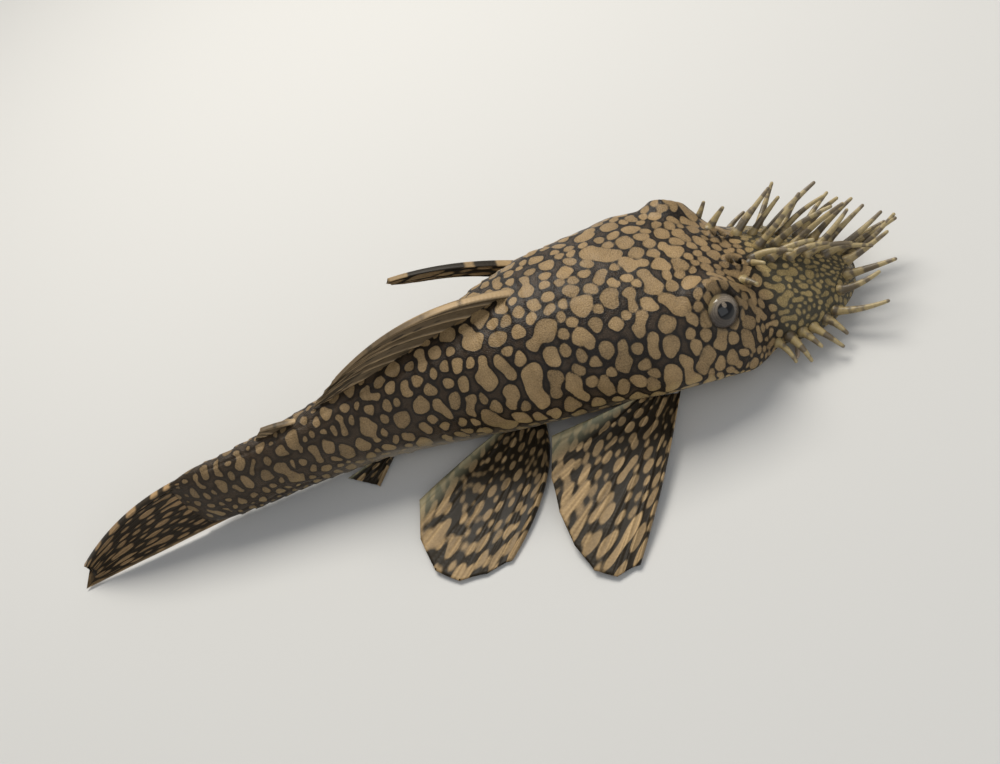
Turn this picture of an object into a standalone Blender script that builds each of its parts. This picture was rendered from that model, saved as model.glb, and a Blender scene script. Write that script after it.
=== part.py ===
"""A bristlenose pleco at rest on its belly, life size, as a still museum model.

Lengths are in head lengths and become metres only where a mesh is made, by HEAD_LENGTH. A
place is a distance behind a point just ahead of the snout, which starts at SNOUT_TIP. The fish
faces +X with its back up (+Z) and its left side on +Y. The origin is on the flat of the belly,
and the surface that the fish rests on is the plane z = 0.
"""

import math
import random

import bmesh
import bpy
import numpy as np
from mathutils import Vector

# Driving sizes, in metres
HEAD_LENGTH = 0.038
GAP = 0.0003

# Places along the body
SNOUT_TIP = 0.03
BELLY_CENTRE = 1.10
GILL_CUT = 0.80
ANAL_CUT = 1.86
TAIL_BASE = 2.56

# Eyes, nostrils and mouth
EYE_AT, EYE_OUT, EYE_UP, EYE_RADIUS = 0.576, 0.264, 0.345, 0.067
BROW_REACH, BROW_WIDTH, BROW_HEIGHT = 0.085, 0.039, 0.050
SOCKET_REACH, SOCKET_DEPTH = 0.100, 0.030
NOSTRIL_AT, NOSTRIL_OUT, NOSTRIL_RADIUS = 0.448, 0.076, 0.026
NOSTRIL_RIM_UP, NOSTRIL_DEPTH = 0.016, 0.016
MOUTH_AT, MOUTH_HALF_LENGTH, MOUTH_HALF_WIDTH = 0.285, 0.185, 0.225
# Layers of the lips as (share of the length, share of the width, height), and of the opening
# between them as (half length, half width, height)
LIP_LAYERS = ((0.80, 0.82, 0.075), (0.97, 0.97, 0.035), (1.0, 1.0, 0.014), (0.94, 0.95, -0.004))
GAPE_LAYERS = ((0.050, 0.125, 0.040), (0.058, 0.140, 0.018), (0.075, 0.160, -0.020))
GAPE_FORWARD = 0.005
BARBEL_FROM, BARBEL_UP, BARBEL_DROP = (0.02, 0.85), 0.020, 0.004
BARBEL_REACH, BARBEL_BACK, BARBEL_RADIUS, BARBEL_TIP_RADIUS = 0.085, 0.055, 0.016, 0.007
TEETH_A_SIDE, TOOTH_STEP, TOOTH_FIRST, TOOTH_FROM_MIDDLE = 5, 0.019, 0.022, 0.052
TOOTH_RADIUS, TOOTH_TIP_RADIUS, TOOTH_ROOT_UP, TOOTH_TIP_UP = 0.0085, 0.0050, 0.052, 0.012
TOOTH_HOOK, COMB_BEND = 0.010, 0.002

# Outlines of the body, as (place, size)
BACK = ((0.03, 0.090), (0.055, 0.135), (0.115, 0.186), (0.25, 0.258), (0.43, 0.341), (0.60, 0.452),
        (0.85, 0.518), (1.14, 0.551), (1.50, 0.499), (1.86, 0.427), (2.25, 0.355), (2.60, 0.334))
BELLY = ((0.03, 0.062), (0.08, 0.036), (0.20, 0.030), (0.50, 0.026), (0.70, -0.010),
         (0.90, -0.035), (1.40, -0.035), (1.70, -0.004), (1.95, 0.022), (2.25, 0.030), (2.60, 0.025))
FLANK = ((0.03, 0.045), (0.05, 0.098), (0.10, 0.163), (0.17, 0.220), (0.28, 0.272), (0.39, 0.286),
         (0.55, 0.372), (0.75, 0.386), (0.95, 0.350), (1.20, 0.310), (1.55, 0.212), (1.90, 0.128),
         (2.25, 0.096), (2.60, 0.060))
WIDEST_UP = ((0.0, 0.080), (0.15, 0.062), (0.45, 0.098), (0.80, 0.230), (1.20, 0.240),
             (1.90, 0.240), (2.60, 0.180))
ROUND_ABOVE = ((0.0, 2.0), (0.30, 2.1), (0.60, 2.5), (1.00, 2.35), (1.60, 2.17), (2.60, 2.0))
ROUND_BELOW = ((0.0, 2.0), (0.20, 2.4), (0.60, 2.0), (1.50, 1.7), (2.00, 1.7), (2.60, 2.0))

# The snout is turned a little to the fish's right, as (place, shift to the left)
AXIS = ((0.03, -0.034), (0.15, -0.024), (0.35, -0.010), (0.60, -0.002), (0.80, 0.0), (2.60, 0.0))

# Bony plates behind the head: five rows a side, each plate lifted at its rear edge
PLATES_FROM, PLATES_TO, PLATE_LENGTH, PLATE_LIFT = 0.98, 2.54, 0.065, 0.0045
PLATE_ROWS, PLATE_SEAM, SEAM_WIDTH = 5, 0.0035, 0.12
NAKED_BELLY_TO, NAKED_BELOW = 1.80, -0.55

HEAD_SIDES, TRUNK_SIDES, TAIL_SIDES = 52, 36, 30

# Bristles: rows on the snout as (number, first root, last root, length, lean, curl). A root is
# (place, share of the half width), and a lean or curl is (forward, left[, up])
BRISTLE_ROWS = {
    "left_crest": (7, (0.385, 0.34), (0.075, 0.34), 0.205, (0.80, 0.15), (0.25, -0.05, 0.05)),
    "ridge": (5, (0.340, 0.03), (0.070, 0.06), 0.205, (0.90, 0.05), (0.20, 0.05, -0.05)),
    "right_crest": (5, (0.385, -0.20), (0.130, -0.20), 0.180, (0.85, -0.15), (0.35, -0.25, -0.45)),
    "left_fork": (2, (0.480, 0.60), (0.460, 0.38), 0.090, (0.20, 0.10), (0.10, 0.0, 0.2)),
    "right_fork": (2, (0.400, -0.27), (0.455, -0.50), 0.075, (0.10, -0.90), (0.0, -0.20, -0.30)),
    "left_rim": (6, (0.065, 0.82), (0.400, 0.998), 0.165, (0.90, 0.90), (0.25, 0.0, 0.10)),
    "right_front": (3, (0.085, -0.76), (0.170, -0.985), 0.165, (1.10, -0.40), (0.20, 0.10, 0.05)),
    "right_rim": (5, (0.215, -0.99), (0.415, -0.998), 0.115, (0.60, -1.00), (0.10, 0.0, -0.60)),
    "brim": (4, (0.048, -0.40), (0.040, 0.55), 0.195, (1.10, 0.05), (0.20, 0.0, 0.15)),
}
BRISTLE_RADIUS, BRISTLE_TIP_RADIUS, BRISTLE_SUNK = 0.0165, 0.0050, 0.030
BRISTLE_SWAY, BRISTLE_STRAY = 0.20, 0.008
BRISTLE_SIDES, BRISTLE_STEPS = 5, 4
SEED = 11

# Thicknesses of the fins in metres, and of the spines at root and tip
MEMBRANE = 0.00055
RAY_RIDGE = 0.00035
PECTORAL_SPINE, PELVIC_SPINE = (0.0019, 0.0009), (0.0014, 0.0007)
DORSAL_SPINE, ADIPOSE_SPINE = (0.0017, 0.0009), (0.0013, 0.0008)
ANAL_SPINE, CAUDAL_SPINE = (0.0009, 0.0007), (0.0012, 0.0007)
FINE_RIDGE, CAUDAL_RIDGE = 0.0002, 0.0003
RAY_ASIDE = 0.006

# Paired fins of the right side as (first and last root, tips, bow of the first and last ray):
# spread on the floor, and swept back and raised with the spine on top
PECTORAL_SPREAD = (((0.790, 0.300, 0.055), (0.960, 0.300, 0.120)),
                   ((1.138, 0.872, 0.012), (1.225, 0.890, 0.016), (1.290, 0.838, 0.022),
                    (1.324, 0.728, 0.035), (1.336, 0.590, 0.055), (1.324, 0.460, 0.080),
                    (1.270, 0.322, 0.128)),
                   ((-0.012, 0.010, 0.012), (-0.012, 0.010, 0.012)))
PECTORAL_SWEPT = (((0.835, 0.300, 0.150), (0.960, 0.300, 0.075)),
                  ((1.660, 0.470, 0.432), (1.672, 0.466, 0.422), (1.655, 0.460, 0.411),
                   (1.612, 0.455, 0.397), (1.555, 0.450, 0.381), (1.490, 0.446, 0.363),
                   (1.420, 0.442, 0.343)),
                  ((0.0, 0.010, 0.075), (0.0, 0.010, 0.045)))
PELVIC_SPREAD = (((1.285, 0.160, 0.020), (1.420, 0.110, 0.034)),
                 ((1.545, 0.672, 0.010), (1.645, 0.690, 0.012), (1.745, 0.680, 0.014),
                  (1.822, 0.605, 0.018), (1.852, 0.455, 0.022), (1.822, 0.290, 0.030)),
                 ((-0.060, 0.010, 0.008), (0.0, 0.0, 0.010)))
PELVIC_CLOSED = (((1.290, 0.160, 0.020), (1.420, 0.110, 0.034)),
                 ((1.690, 0.560, 0.010), (1.775, 0.550, 0.014), (1.835, 0.500, 0.018),
                  (1.862, 0.425, 0.024), (1.860, 0.330, 0.034), (1.815, 0.235, 0.045)),
                 ((-0.015, 0.010, 0.010), (-0.015, 0.010, 0.010)))

# Fins of the middle line: the number of rays, places and heights of their roots and tips from
# the first ray to the last, and the rise of the first ray's bow with the power that it falls by
DORSAL_RAYS, DORSAL_ROOTS, DORSAL_SUNK = 8, (1.130, 1.780), 0.035
DORSAL_TIPS, DORSAL_BOW = ((1.910, 0.490), (2.060, 0.395)), (0.102, 0.9)
ADIPOSE_BONES = (((2.050, 0.0, 0.345), (2.258, 0.0, 0.398), (0.0, 0.0, 0.010)),
                 ((2.180, 0.0, 0.325), (2.285, 0.0, 0.377), (0.0, 0.0, 0.0)),
                 ((2.280, 0.0, 0.320), (2.304, 0.0, 0.355), (0.0, 0.0, 0.0)))
ANAL_RAYS, ANAL_ROOTS = 5, ((1.880, -0.020, 0.030), (1.950, -0.020, 0.030))
ANAL_TIPS = ((1.970, -0.138, 0.013), (2.090, -0.045, 0.018))
CAUDAL_RAYS, CAUDAL_SUNK, CAUDAL_ROOTS = 14, 0.030, (0.318, 0.026)
CAUDAL_TIPS, CAUDAL_DIP = ((3.225, 0.0, 0.070), (3.250, -0.055, 0.011)), 0.050
CAUDAL_BOW = (0.070, 1.3)

FLOOR_CUT_DEPTH = 0.02
FLOOR_CUT_SIDE = 0.4

MATERIALS = {
    "skin": ((0.235, 0.165, 0.085), 0.45),
    "fin": ((0.260, 0.180, 0.095), 0.50),
    "eye": ((0.120, 0.100, 0.085), 0.15),
}


def clear_scene():
    for old in list(bpy.data.objects):
        bpy.data.objects.remove(old)


def read(table, place):
    """The size that an outline gives at a place, on a curve that never overshoots its points."""
    s, v = (np.array(column, float) for column in zip(*table))
    step = np.diff(s)
    slope = np.diff(v) / step
    tangent = np.zeros(len(s))
    tangent[0], tangent[-1] = slope[0], slope[-1]
    for i in range(1, len(s) - 1):
        if slope[i - 1] * slope[i] > 0:
            tangent[i] = (step[i - 1] + step[i]) / (step[i - 1] / slope[i] + step[i] / slope[i - 1])
    at = float(np.clip(place, s[0], s[-1]))
    i = min(int(np.searchsorted(s, at, side="right")) - 1, len(s) - 2)
    t = (at - s[i]) / step[i]
    ends = (1 + 2 * t) * (1 - t) ** 2 * v[i] + t * t * (3 - 2 * t) * v[i + 1]
    lean = t * (1 - t) ** 2 * tangent[i] - t * t * (1 - t) * tangent[i + 1]
    return float(ends + step[i] * lean)


def to_metres(place, out, up):
    """A point given by its place, its distance to the left and its height, in head lengths."""
    return Vector((BELLY_CENTRE - place, out + read(AXIS, place), up)) * HEAD_LENGTH


def signed_power(value, power):
    return math.copysign(abs(value) ** power, value)


def section(place, turn):
    """A point of the plain body outline: turn 0 is the left side, a quarter turn the back."""
    across, upward = math.cos(turn), math.sin(turn)
    middle = read(WIDEST_UP, place)
    if upward >= 0:
        power = 2 / read(ROUND_ABOVE, place)
        reach = read(BACK, place) - middle
    else:
        power = 2 / read(ROUND_BELOW, place)
        reach = middle - read(BELLY, place)
    return read(FLANK, place) * signed_power(across, power), middle + reach * signed_power(upward, power)


def brow_lift(place, out, up):
    """The rim round each eye: raised over it, and lowered beneath it so that the eye looks out."""
    away = math.dist((place, abs(out), up), (EYE_AT, EYE_OUT, EYE_UP))
    over = max(0.0, min(1.0, 0.5 + (EYE_OUT - abs(out) + 0.3 * (up - EYE_UP)) / (2 * EYE_RADIUS)))
    rim = BROW_HEIGHT * over * math.exp(-(((away - BROW_REACH) / BROW_WIDTH) ** 2))
    return rim - SOCKET_DEPTH * (1 - over) * math.exp(-((away / SOCKET_REACH) ** 2))


def plate_lift(place, turn):
    """Plates rise towards their rear edge and dip at the seams between their rows."""
    below = math.sin(turn) < NAKED_BELOW
    if not PLATES_FROM <= place <= PLATES_TO or (below and place < NAKED_BELLY_TO):
        return 0.0
    along = ((place - PLATES_FROM) / PLATE_LENGTH) % 1.0
    row = (turn / math.pi * PLATE_ROWS) % 1.0
    seam = math.exp(-((min(row, 1 - row) / SEAM_WIDTH) ** 2))
    return PLATE_LIFT * along - PLATE_SEAM * seam


def body_point(place, turn, outset=0.0):
    """A point of the body's surface in metres, moved out by outset, in head lengths."""
    out, up = section(place, turn)
    nudge = 0.01
    before, after = section(place, turn - nudge), section(place, turn + nudge)
    normal = Vector((after[1] - before[1], before[0] - after[0]))
    if normal.length > 0:
        normal.normalize()
    lift = outset + brow_lift(place, out, up) + plate_lift(place, turn)
    return to_metres(place, out + normal.x * lift, up + normal.y * lift)


def new_object(name, vertices, faces, material=None):
    mesh = bpy.data.meshes.new(name)
    mesh.from_pydata([tuple(v) for v in vertices], [], faces)
    mesh.validate()
    made = bpy.data.objects.new(name, mesh)
    bpy.context.scene.collection.objects.link(made)
    if material:
        mesh.materials.append(material)
    return made


def tube_faces(rings, sides):
    """Faces of a closed tube of rings, with a flat cap at each end."""
    faces = []
    for ring in range(rings - 1):
        for side in range(sides):
            a, b = ring * sides + side, ring * sides + (side + 1) % sides
            faces.append((a, a + sides, b + sides, b))
    last = (rings - 1) * sides
    faces.append(tuple(range(sides)))
    faces.append(tuple(last + side for side in reversed(range(sides))))
    return faces


def face_outwards(made):
    """Turns the faces of a closed mesh outwards."""
    shape = bmesh.new()
    shape.from_mesh(made.data)
    bmesh.ops.recalc_face_normals(shape, faces=shape.faces)
    if shape.calc_volume(signed=True) < 0:
        bmesh.ops.reverse_faces(shape, faces=shape.faces)
    shape.to_mesh(made.data)
    shape.free()
    return made


def body_length(name, places, material=None, outset=0.0, sides=TRUNK_SIDES):
    """One length of the body, as a loft through its sections."""
    vertices = [body_point(place, 2 * math.pi * side / sides, outset)
                for place in places for side in range(sides)]
    return face_outwards(new_object(name, vertices, tube_faces(len(places), sides), material))


def modified(made, modifier_type, **settings):
    """Adds a modifier, applies it and returns the object."""
    modifier = made.modifiers.new(modifier_type.title(), modifier_type)
    for key, value in settings.items():
        setattr(modifier, key, value)
    graph = bpy.context.evaluated_depsgraph_get()
    mesh = bpy.data.meshes.new_from_object(made.evaluated_get(graph))
    made.modifiers.clear()
    made.data = mesh
    return made


def keep_largest(made):
    """Keeps the closed surface with the largest volume, and drops scraps and sealed hollows.
    A surface ends at an edge that more than two faces share."""
    shape = bmesh.new()
    shape.from_mesh(made.data)
    bmesh.ops.remove_doubles(shape, verts=shape.verts, dist=1e-7)
    left, shells = set(shape.faces), []
    while left:
        shell, edge = set(), [left.pop()]
        while edge:
            face = edge.pop()
            shell.add(face)
            for side in face.edges:
                for other in side.link_faces:
                    if other in left and len(side.link_faces) == 2:
                        left.remove(other)
                        edge.append(other)
        shells.append(shell)
    keep = max(shells, key=shell_volume)
    bmesh.ops.delete(shape, geom=[f for f in shape.faces if f not in keep], context="FACES")
    shape.to_mesh(made.data)
    shape.free()
    return made


def shell_volume(shell):
    """The volume inside a closed set of faces."""
    volume = 0.0
    for face in shell:
        first = face.verts[0].co
        for i in range(1, len(face.verts) - 1):
            volume += first.dot(face.verts[i].co.cross(face.verts[i + 1].co)) / 6
    return volume


def boolean(made, pieces, operation, solver="MANIFOLD"):
    """Joins pieces to an object or cuts them from it in one step, and removes the pieces."""
    group = bpy.data.collections.new(made.name + "_pieces")
    bpy.context.scene.collection.children.link(group)
    for piece in pieces:
        for old in piece.users_collection:
            old.objects.unlink(piece)
        group.objects.link(piece)
    modified(made, "BOOLEAN", operation=operation, solver=solver, operand_type="COLLECTION",
             collection=group)
    for piece in pieces:
        bpy.data.objects.remove(piece)
    bpy.data.collections.remove(group)
    return keep_largest(made)


def floor_cutter():
    """A slab under the floor plane, which leaves a flat where a piece rests."""
    half, deep = FLOOR_CUT_SIDE / 2, FLOOR_CUT_DEPTH
    corners = [(x, y, z) for z in (-deep, 0.0) for y in (-half, half) for x in (-half, half)]
    faces = [(0, 2, 3, 1), (4, 5, 7, 6), (0, 1, 5, 4), (2, 6, 7, 3), (0, 4, 6, 2), (1, 3, 7, 5)]
    return face_outwards(new_object("floor_cut", corners, faces))


def body_cutter():
    """The whole body grown by the gap, which shapes the root of each fin."""
    places = np.linspace(0.5, TAIL_BASE + GAP / HEAD_LENGTH, 60)
    return body_length("body_cut", places, outset=GAP / HEAD_LENGTH + PLATE_LIFT)


def ellipse_ring(centre, half_x, half_y, z, sides):
    """Points round an ellipse at height z, in head lengths."""
    turns = [2 * math.pi * i / sides for i in range(sides)]
    return [to_metres(centre - half_x * math.cos(t), half_y * math.sin(t), z) for t in turns]


def ellipse_stack(name, layers, sides):
    """A closed solid through ellipses, each (half length, half width, height, place)."""
    vertices = []
    for half_x, half_y, z, centre in layers:
        vertices += ellipse_ring(centre, half_x, half_y, z, sides)
    return face_outwards(new_object(name, vertices, tube_faces(len(layers), sides)))


def lips():
    """The round sucking lips, flat underneath, with two short barbels at the corners."""
    length, width = MOUTH_HALF_LENGTH, MOUTH_HALF_WIDTH
    layers = [(length * along, width * across, up, MOUTH_AT) for along, across, up in LIP_LAYERS]
    barbels = []
    behind, share = BARBEL_FROM
    for side in (-1, 1):
        root = to_metres(MOUTH_AT + behind, side * width * share, BARBEL_UP)
        reach = side * (width + BARBEL_REACH)
        tip = to_metres(MOUTH_AT + behind + BARBEL_BACK, reach, BARBEL_UP - BARBEL_DROP)
        path = [root, (root + tip) / 2, tip]
        barbels.append(spike("barbel", path, BARBEL_RADIUS, BARBEL_TIP_RADIUS))
    return [ellipse_stack("lips", layers, 28), *barbels]


def gape():
    """The opening between the lips."""
    layers = [(half_x, half_y, up, MOUTH_AT - GAPE_FORWARD) for half_x, half_y, up in GAPE_LAYERS]
    return ellipse_stack("gape", layers, 24)


def teeth():
    """A short comb of teeth on each half of both jaws, seen between the lips."""
    combs = []
    for side in (-1, 1):
        for jaw in (-1, 1):
            for tooth in range(TEETH_A_SIDE):
                out = side * (TOOTH_FIRST + TOOTH_STEP * tooth)
                place = MOUTH_AT - GAPE_FORWARD + jaw * (TOOTH_FROM_MIDDLE - COMB_BEND * tooth)
                root = to_metres(place, out, TOOTH_ROOT_UP)
                tip = to_metres(place - jaw * TOOTH_HOOK, out, TOOTH_TIP_UP)
                combs.append(spike("tooth", [root, tip], TOOTH_RADIUS, TOOTH_TIP_RADIUS, sides=4))
    return combs


def spike(name, path, radius, tip_radius, sides=BRISTLE_SIDES):
    """A tapered round spike along a path, with radii in head lengths."""
    vertices = []
    side = (path[1] - path[0]).orthogonal()
    for i, point in enumerate(path):
        before, after = path[max(i - 1, 0)], path[min(i + 1, len(path) - 1)]
        along = (after - before).normalized()
        side = (side - along * side.dot(along)).normalized()
        other = along.cross(side)
        share = i / (len(path) - 1)
        size = HEAD_LENGTH * (radius + (tip_radius - radius) * share ** 0.8)
        for corner in range(sides):
            turn = 2 * math.pi * corner / sides
            vertices.append(point + size * (math.cos(turn) * side + math.sin(turn) * other))
    return face_outwards(new_object(name, vertices, tube_faces(len(path), sides)))


def surface_frame(place, share):
    """A point on top of the head at a share of the half width, and the way out of the skin."""
    turn = math.acos(max(-1.0, min(1.0, signed_power(share, read(ROUND_ABOVE, place) / 2))))
    point = body_point(place, turn)
    nudge_turn, nudge_place = 0.05, 0.01
    round_way = body_point(place, turn + nudge_turn) - body_point(place, turn - nudge_turn)
    back_way = body_point(place + nudge_place, turn) - body_point(place - nudge_place, turn)
    normal = round_way.cross(back_way).normalized()
    if normal.z < 0:
        normal.negate()
    return point, normal


def bristle(place, share, length, lean, curl, chance):
    """One bristle, rooted in the snout and curving forward."""
    point, normal = surface_frame(place, share)
    forward, left = lean
    start = (normal + Vector((forward, left, 0))).normalized()
    sway = Vector((chance.uniform(-1, 1), chance.uniform(-1, 1), chance.uniform(-0.4, 0.8)))
    bend = Vector(curl) + BRISTLE_SWAY * sway
    reach = length * chance.uniform(0.75, 1.2) * HEAD_LENGTH
    path = [point - normal * BRISTLE_SUNK * HEAD_LENGTH]
    for step in range(1, BRISTLE_STEPS + 1):
        share_along = step / BRISTLE_STEPS
        path.append(point + (start + bend * share_along).normalized() * reach * share_along)
    width = BRISTLE_RADIUS * chance.uniform(0.85, 1.15)
    return spike("bristle", path, width, BRISTLE_TIP_RADIUS)


def bristles():
    """The bristles of the snout, row by row."""
    chance = random.Random(SEED)
    made = []
    for number, first, last, length, lean, curl in BRISTLE_ROWS.values():
        for i in range(number):
            t = i / (number - 1)
            place, share = between((*first, 0.0), (*last, 0.0), t)[:2]
            place += chance.uniform(-BRISTLE_STRAY, BRISTLE_STRAY)
            made.append(bristle(place, share, length, lean, curl, chance))
    return made


def nostrils():
    """A raised rim round each nostril, and the pit that is cut into it."""
    rims, pits = [], []
    for side in (-1, 1):
        point, normal = surface_frame(NOSTRIL_AT, side * NOSTRIL_OUT / read(FLANK, NOSTRIL_AT))
        up, down = normal * NOSTRIL_RIM_UP * HEAD_LENGTH, normal * NOSTRIL_DEPTH * HEAD_LENGTH
        rim_path = [point - 1.4 * down, point + up]
        pit_path = [point - down, point + 2 * up]
        rims.append(spike("rim", rim_path, NOSTRIL_RADIUS * 1.35, NOSTRIL_RADIUS, sides=10))
        pits.append(spike("pit", pit_path, NOSTRIL_RADIUS * 0.45, NOSTRIL_RADIUS * 0.75, sides=8))
    return rims, pits


def eye_centre(side):
    return to_metres(EYE_AT, side * EYE_OUT, EYE_UP)


def ball(name, centre, radius, material=None, rings=12, sides=20):
    """A round ball, its poles out to the side."""
    mesh = bpy.data.meshes.new(name)
    shape = bmesh.new()
    bmesh.ops.create_uvsphere(shape, u_segments=sides, v_segments=rings, radius=radius)
    turn = Vector((0, 0, 1)).rotation_difference(Vector((0, 1, 0))).to_matrix()
    bmesh.ops.rotate(shape, verts=shape.verts, cent=(0, 0, 0), matrix=turn)
    bmesh.ops.translate(shape, verts=shape.verts, vec=centre)
    shape.to_mesh(mesh)
    shape.free()
    made = bpy.data.objects.new(name, mesh)
    bpy.context.scene.collection.objects.link(made)
    if material:
        mesh.materials.append(material)
    return made


def head(material):
    """The head with lips, nostrils, eye sockets and bristles."""
    behind_tip = (0.0, 0.008, 0.020, 0.036, 0.058, 0.088, 0.122)
    places = [SNOUT_TIP + behind for behind in behind_tip]
    places += list(np.linspace(0.190, GILL_CUT - GAP / HEAD_LENGTH / 2, 26))
    made = body_length("head", places, material, sides=HEAD_SIDES)
    rims, pits = nostrils()
    boolean(made, [*lips(), *rims, *bristles()], "UNION")
    sockets = [ball("socket", eye_centre(side), EYE_RADIUS * HEAD_LENGTH + GAP) for side in (-1, 1)]
    boolean(made, [gape(), *pits, *sockets, floor_cutter()], "DIFFERENCE")
    return boolean(made, teeth(), "UNION")


def plate_places(first, last):
    """Two sections for each plate: its front edge and its raised rear edge."""
    places = [first]
    number = int((PLATES_TO - PLATES_FROM) / PLATE_LENGTH)
    for plate in range(number + 1):
        start = PLATES_FROM + plate * PLATE_LENGTH
        for place in (start + 0.002, start + PLATE_LENGTH * 0.93):
            if first + 0.01 < place < last - 0.01:
                places.append(place)
    return places + [last]


def trunk(material):
    half_gap = GAP / HEAD_LENGTH / 2
    plain = list(np.linspace(GILL_CUT + half_gap, PLATES_FROM - 0.02, 6))
    places = plain[:-1] + plate_places(plain[-1], ANAL_CUT - half_gap)
    return boolean(body_length("trunk", places, material), [floor_cutter()], "DIFFERENCE")


def tail(material):
    half_gap = GAP / HEAD_LENGTH / 2
    return body_length("tail", plate_places(ANAL_CUT + half_gap, TAIL_BASE), material, sides=TAIL_SIDES)


def ray_path(root, tip, bow, steps):
    """A ray from its root to its tip, bowed by a vector at its middle, in head lengths."""
    root, tip, bow = Vector(root), Vector(tip), Vector(bow)
    path = []
    for step in range(steps + 1):
        t = step / steps
        path.append(root.lerp(tip, t) + bow * 4 * t * (1 - t))
    return path


def fin(name, rays, material, steps=9, spine=PECTORAL_SPINE, ridge=RAY_RIDGE, notch=0.3,
        upright=False):
    """A fin of rays with membrane between them. Each ray is (root, tip, bow) in head lengths;
    the first is the spine. The rays stand out of the membrane as ridges on both faces. An
    upright fin takes its thickness straight across the fish."""
    paths = [ray_path(*ray, steps) for ray in rays]
    columns, thickness = [], []
    for i, path in enumerate(paths):
        if i == 0:
            root_size, tip_size = spine
        else:
            root_size, tip_size = MEMBRANE + 2 * ridge, MEMBRANE + ridge
        columns.append(path)
        thickness.append([root_size + (tip_size - root_size) * s / steps for s in range(steps + 1)])
        if i + 1 < len(paths):
            web = [p.lerp(q, 0.5) for p, q in zip(path, paths[i + 1])]
            web[-1] = web[-1].lerp(web[-2], notch)
            columns.append(web)
            thickness.append([MEMBRANE] * (steps + 1))
    grid = [[to_metres(*p) for p in column] for column in columns]
    return plate(name, grid, thickness, material, upright)


def plate(name, grid, thickness, material, upright):
    """A closed plate on a grid of points, with its thickness given at each point."""
    across, along = len(grid), len(grid[0])
    upper, lower = [], []
    for i in range(across):
        for j in range(along):
            side_way = grid[min(i + 1, across - 1)][j] - grid[max(i - 1, 0)][j]
            long_way = grid[i][min(j + 1, along - 1)] - grid[i][max(j - 1, 0)]
            normal = Vector((0, 1, 0)) if upright else side_way.cross(long_way).normalized()
            half = normal * thickness[i][j] / 2
            upper.append(grid[i][j] + half)
            lower.append(grid[i][j] - half)
    offset = len(upper)
    faces = []
    for i in range(across - 1):
        for j in range(along - 1):
            a, b = i * along + j, (i + 1) * along + j
            for corners in ((a, b, b + 1), (a, b + 1, a + 1)):
                faces.append(corners)
                faces.append(tuple(offset + c for c in reversed(corners)))
    rim = [(i, 0) for i in range(across)] + [(across - 1, j) for j in range(1, along)]
    rim += [(i, along - 1) for i in range(across - 2, -1, -1)] + [(0, j) for j in range(along - 2, 0, -1)]
    loop = [i * along + j for i, j in rim]
    for a, b in zip(loop, loop[1:] + loop[:1]):
        faces.append((a, offset + a, offset + b))
        faces.append((a, offset + b, b))
    return face_outwards(new_object(name, upper + lower, faces, material))


def fitted(made, rests=False):
    """Cuts a fin's root to the body, and its underside to the floor where it rests."""
    cutters = [body_cutter()]
    if rests:
        cutters.append(floor_cutter())
    return boolean(made, cutters, "DIFFERENCE")


def mirrored(rays, side):
    """The rays of a right fin for either side: side is -1 on the right and 1 on the left."""
    return [tuple((p, side * o, u) for p, o, u in ray) for ray in rays]


def paired_fin(name, side, fin_rays, material, spine, upright=False):
    """A fin of rays that reach from a line of roots to their tips, cut to the body and floor."""
    (root_first, root_last), tips, (bow_first, bow_last) = fin_rays
    rays = []
    for i, tip in enumerate(tips):
        t = i / (len(tips) - 1)
        rays.append((between(root_first, root_last, t), tip, between(bow_first, bow_last, t)))
    made = fin(name, mirrored(rays, side), material, spine=spine, upright=upright)
    return fitted(made, rests=True)


def between(first, last, t):
    """The point at a share of the way from the first to the last."""
    return Vector(first).lerp(Vector(last), t)


def ray_bow(bow, t):
    """The upward bow of a middle fin's ray, which falls from the first ray to the last."""
    rise, power = bow
    return (0.0, 0.0, rise * (1 - t) ** power)


def dorsal(material):
    """The dorsal fin, folded back: a spine and seven rays, one behind the other."""
    rays = []
    for i in range(DORSAL_RAYS):
        t = i / (DORSAL_RAYS - 1)
        place = DORSAL_ROOTS[0] + (DORSAL_ROOTS[1] - DORSAL_ROOTS[0]) * t
        root = (place, 0.0, read(BACK, place) - DORSAL_SUNK)
        tip_place, tip_up = between(*DORSAL_TIPS, t)
        tip = (tip_place, -RAY_ASIDE * (-1) ** i, tip_up)
        rays.append((root, tip, ray_bow(DORSAL_BOW, t)))
    made = fin("dorsal_fin", rays, material, spine=DORSAL_SPINE, ridge=FINE_RIDGE, upright=True)
    return fitted(made)


def adipose(material):
    """The small fin between the dorsal and the tail: a low spine with a membrane behind it."""
    made = fin("adipose_fin", ADIPOSE_BONES, material, steps=4, spine=ADIPOSE_SPINE, upright=True)
    return fitted(made)


def anal(material):
    """The small anal fin, laid back to the right on the floor."""
    rays = []
    for i in range(ANAL_RAYS):
        t = i / (ANAL_RAYS - 1)
        rays.append((between(*ANAL_ROOTS, t), between(*ANAL_TIPS, t), (0.0, 0.0, 0.0)))
    return fitted(fin("anal_fin", rays, material, steps=5, spine=ANAL_SPINE), rests=True)


def caudal(material):
    """The tail fin, half closed, its lower lobe the longer one, bent right along the floor."""
    rays = []
    for i in range(CAUDAL_RAYS):
        t = i / (CAUDAL_RAYS - 1)
        root = (TAIL_BASE - CAUDAL_SUNK, 0.0, CAUDAL_ROOTS[0] + (CAUDAL_ROOTS[1] - CAUDAL_ROOTS[0]) * t)
        shift = Vector((-CAUDAL_DIP * math.sin(math.pi * t), RAY_ASIDE * (-1) ** i, 0.0))
        rays.append((root, between(*CAUDAL_TIPS, t) + shift, ray_bow(CAUDAL_BOW, t)))
    made = fin("caudal_fin", rays, material, steps=10, spine=CAUDAL_SPINE, ridge=CAUDAL_RIDGE,
               upright=True)
    return fitted(made, rests=True)


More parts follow.
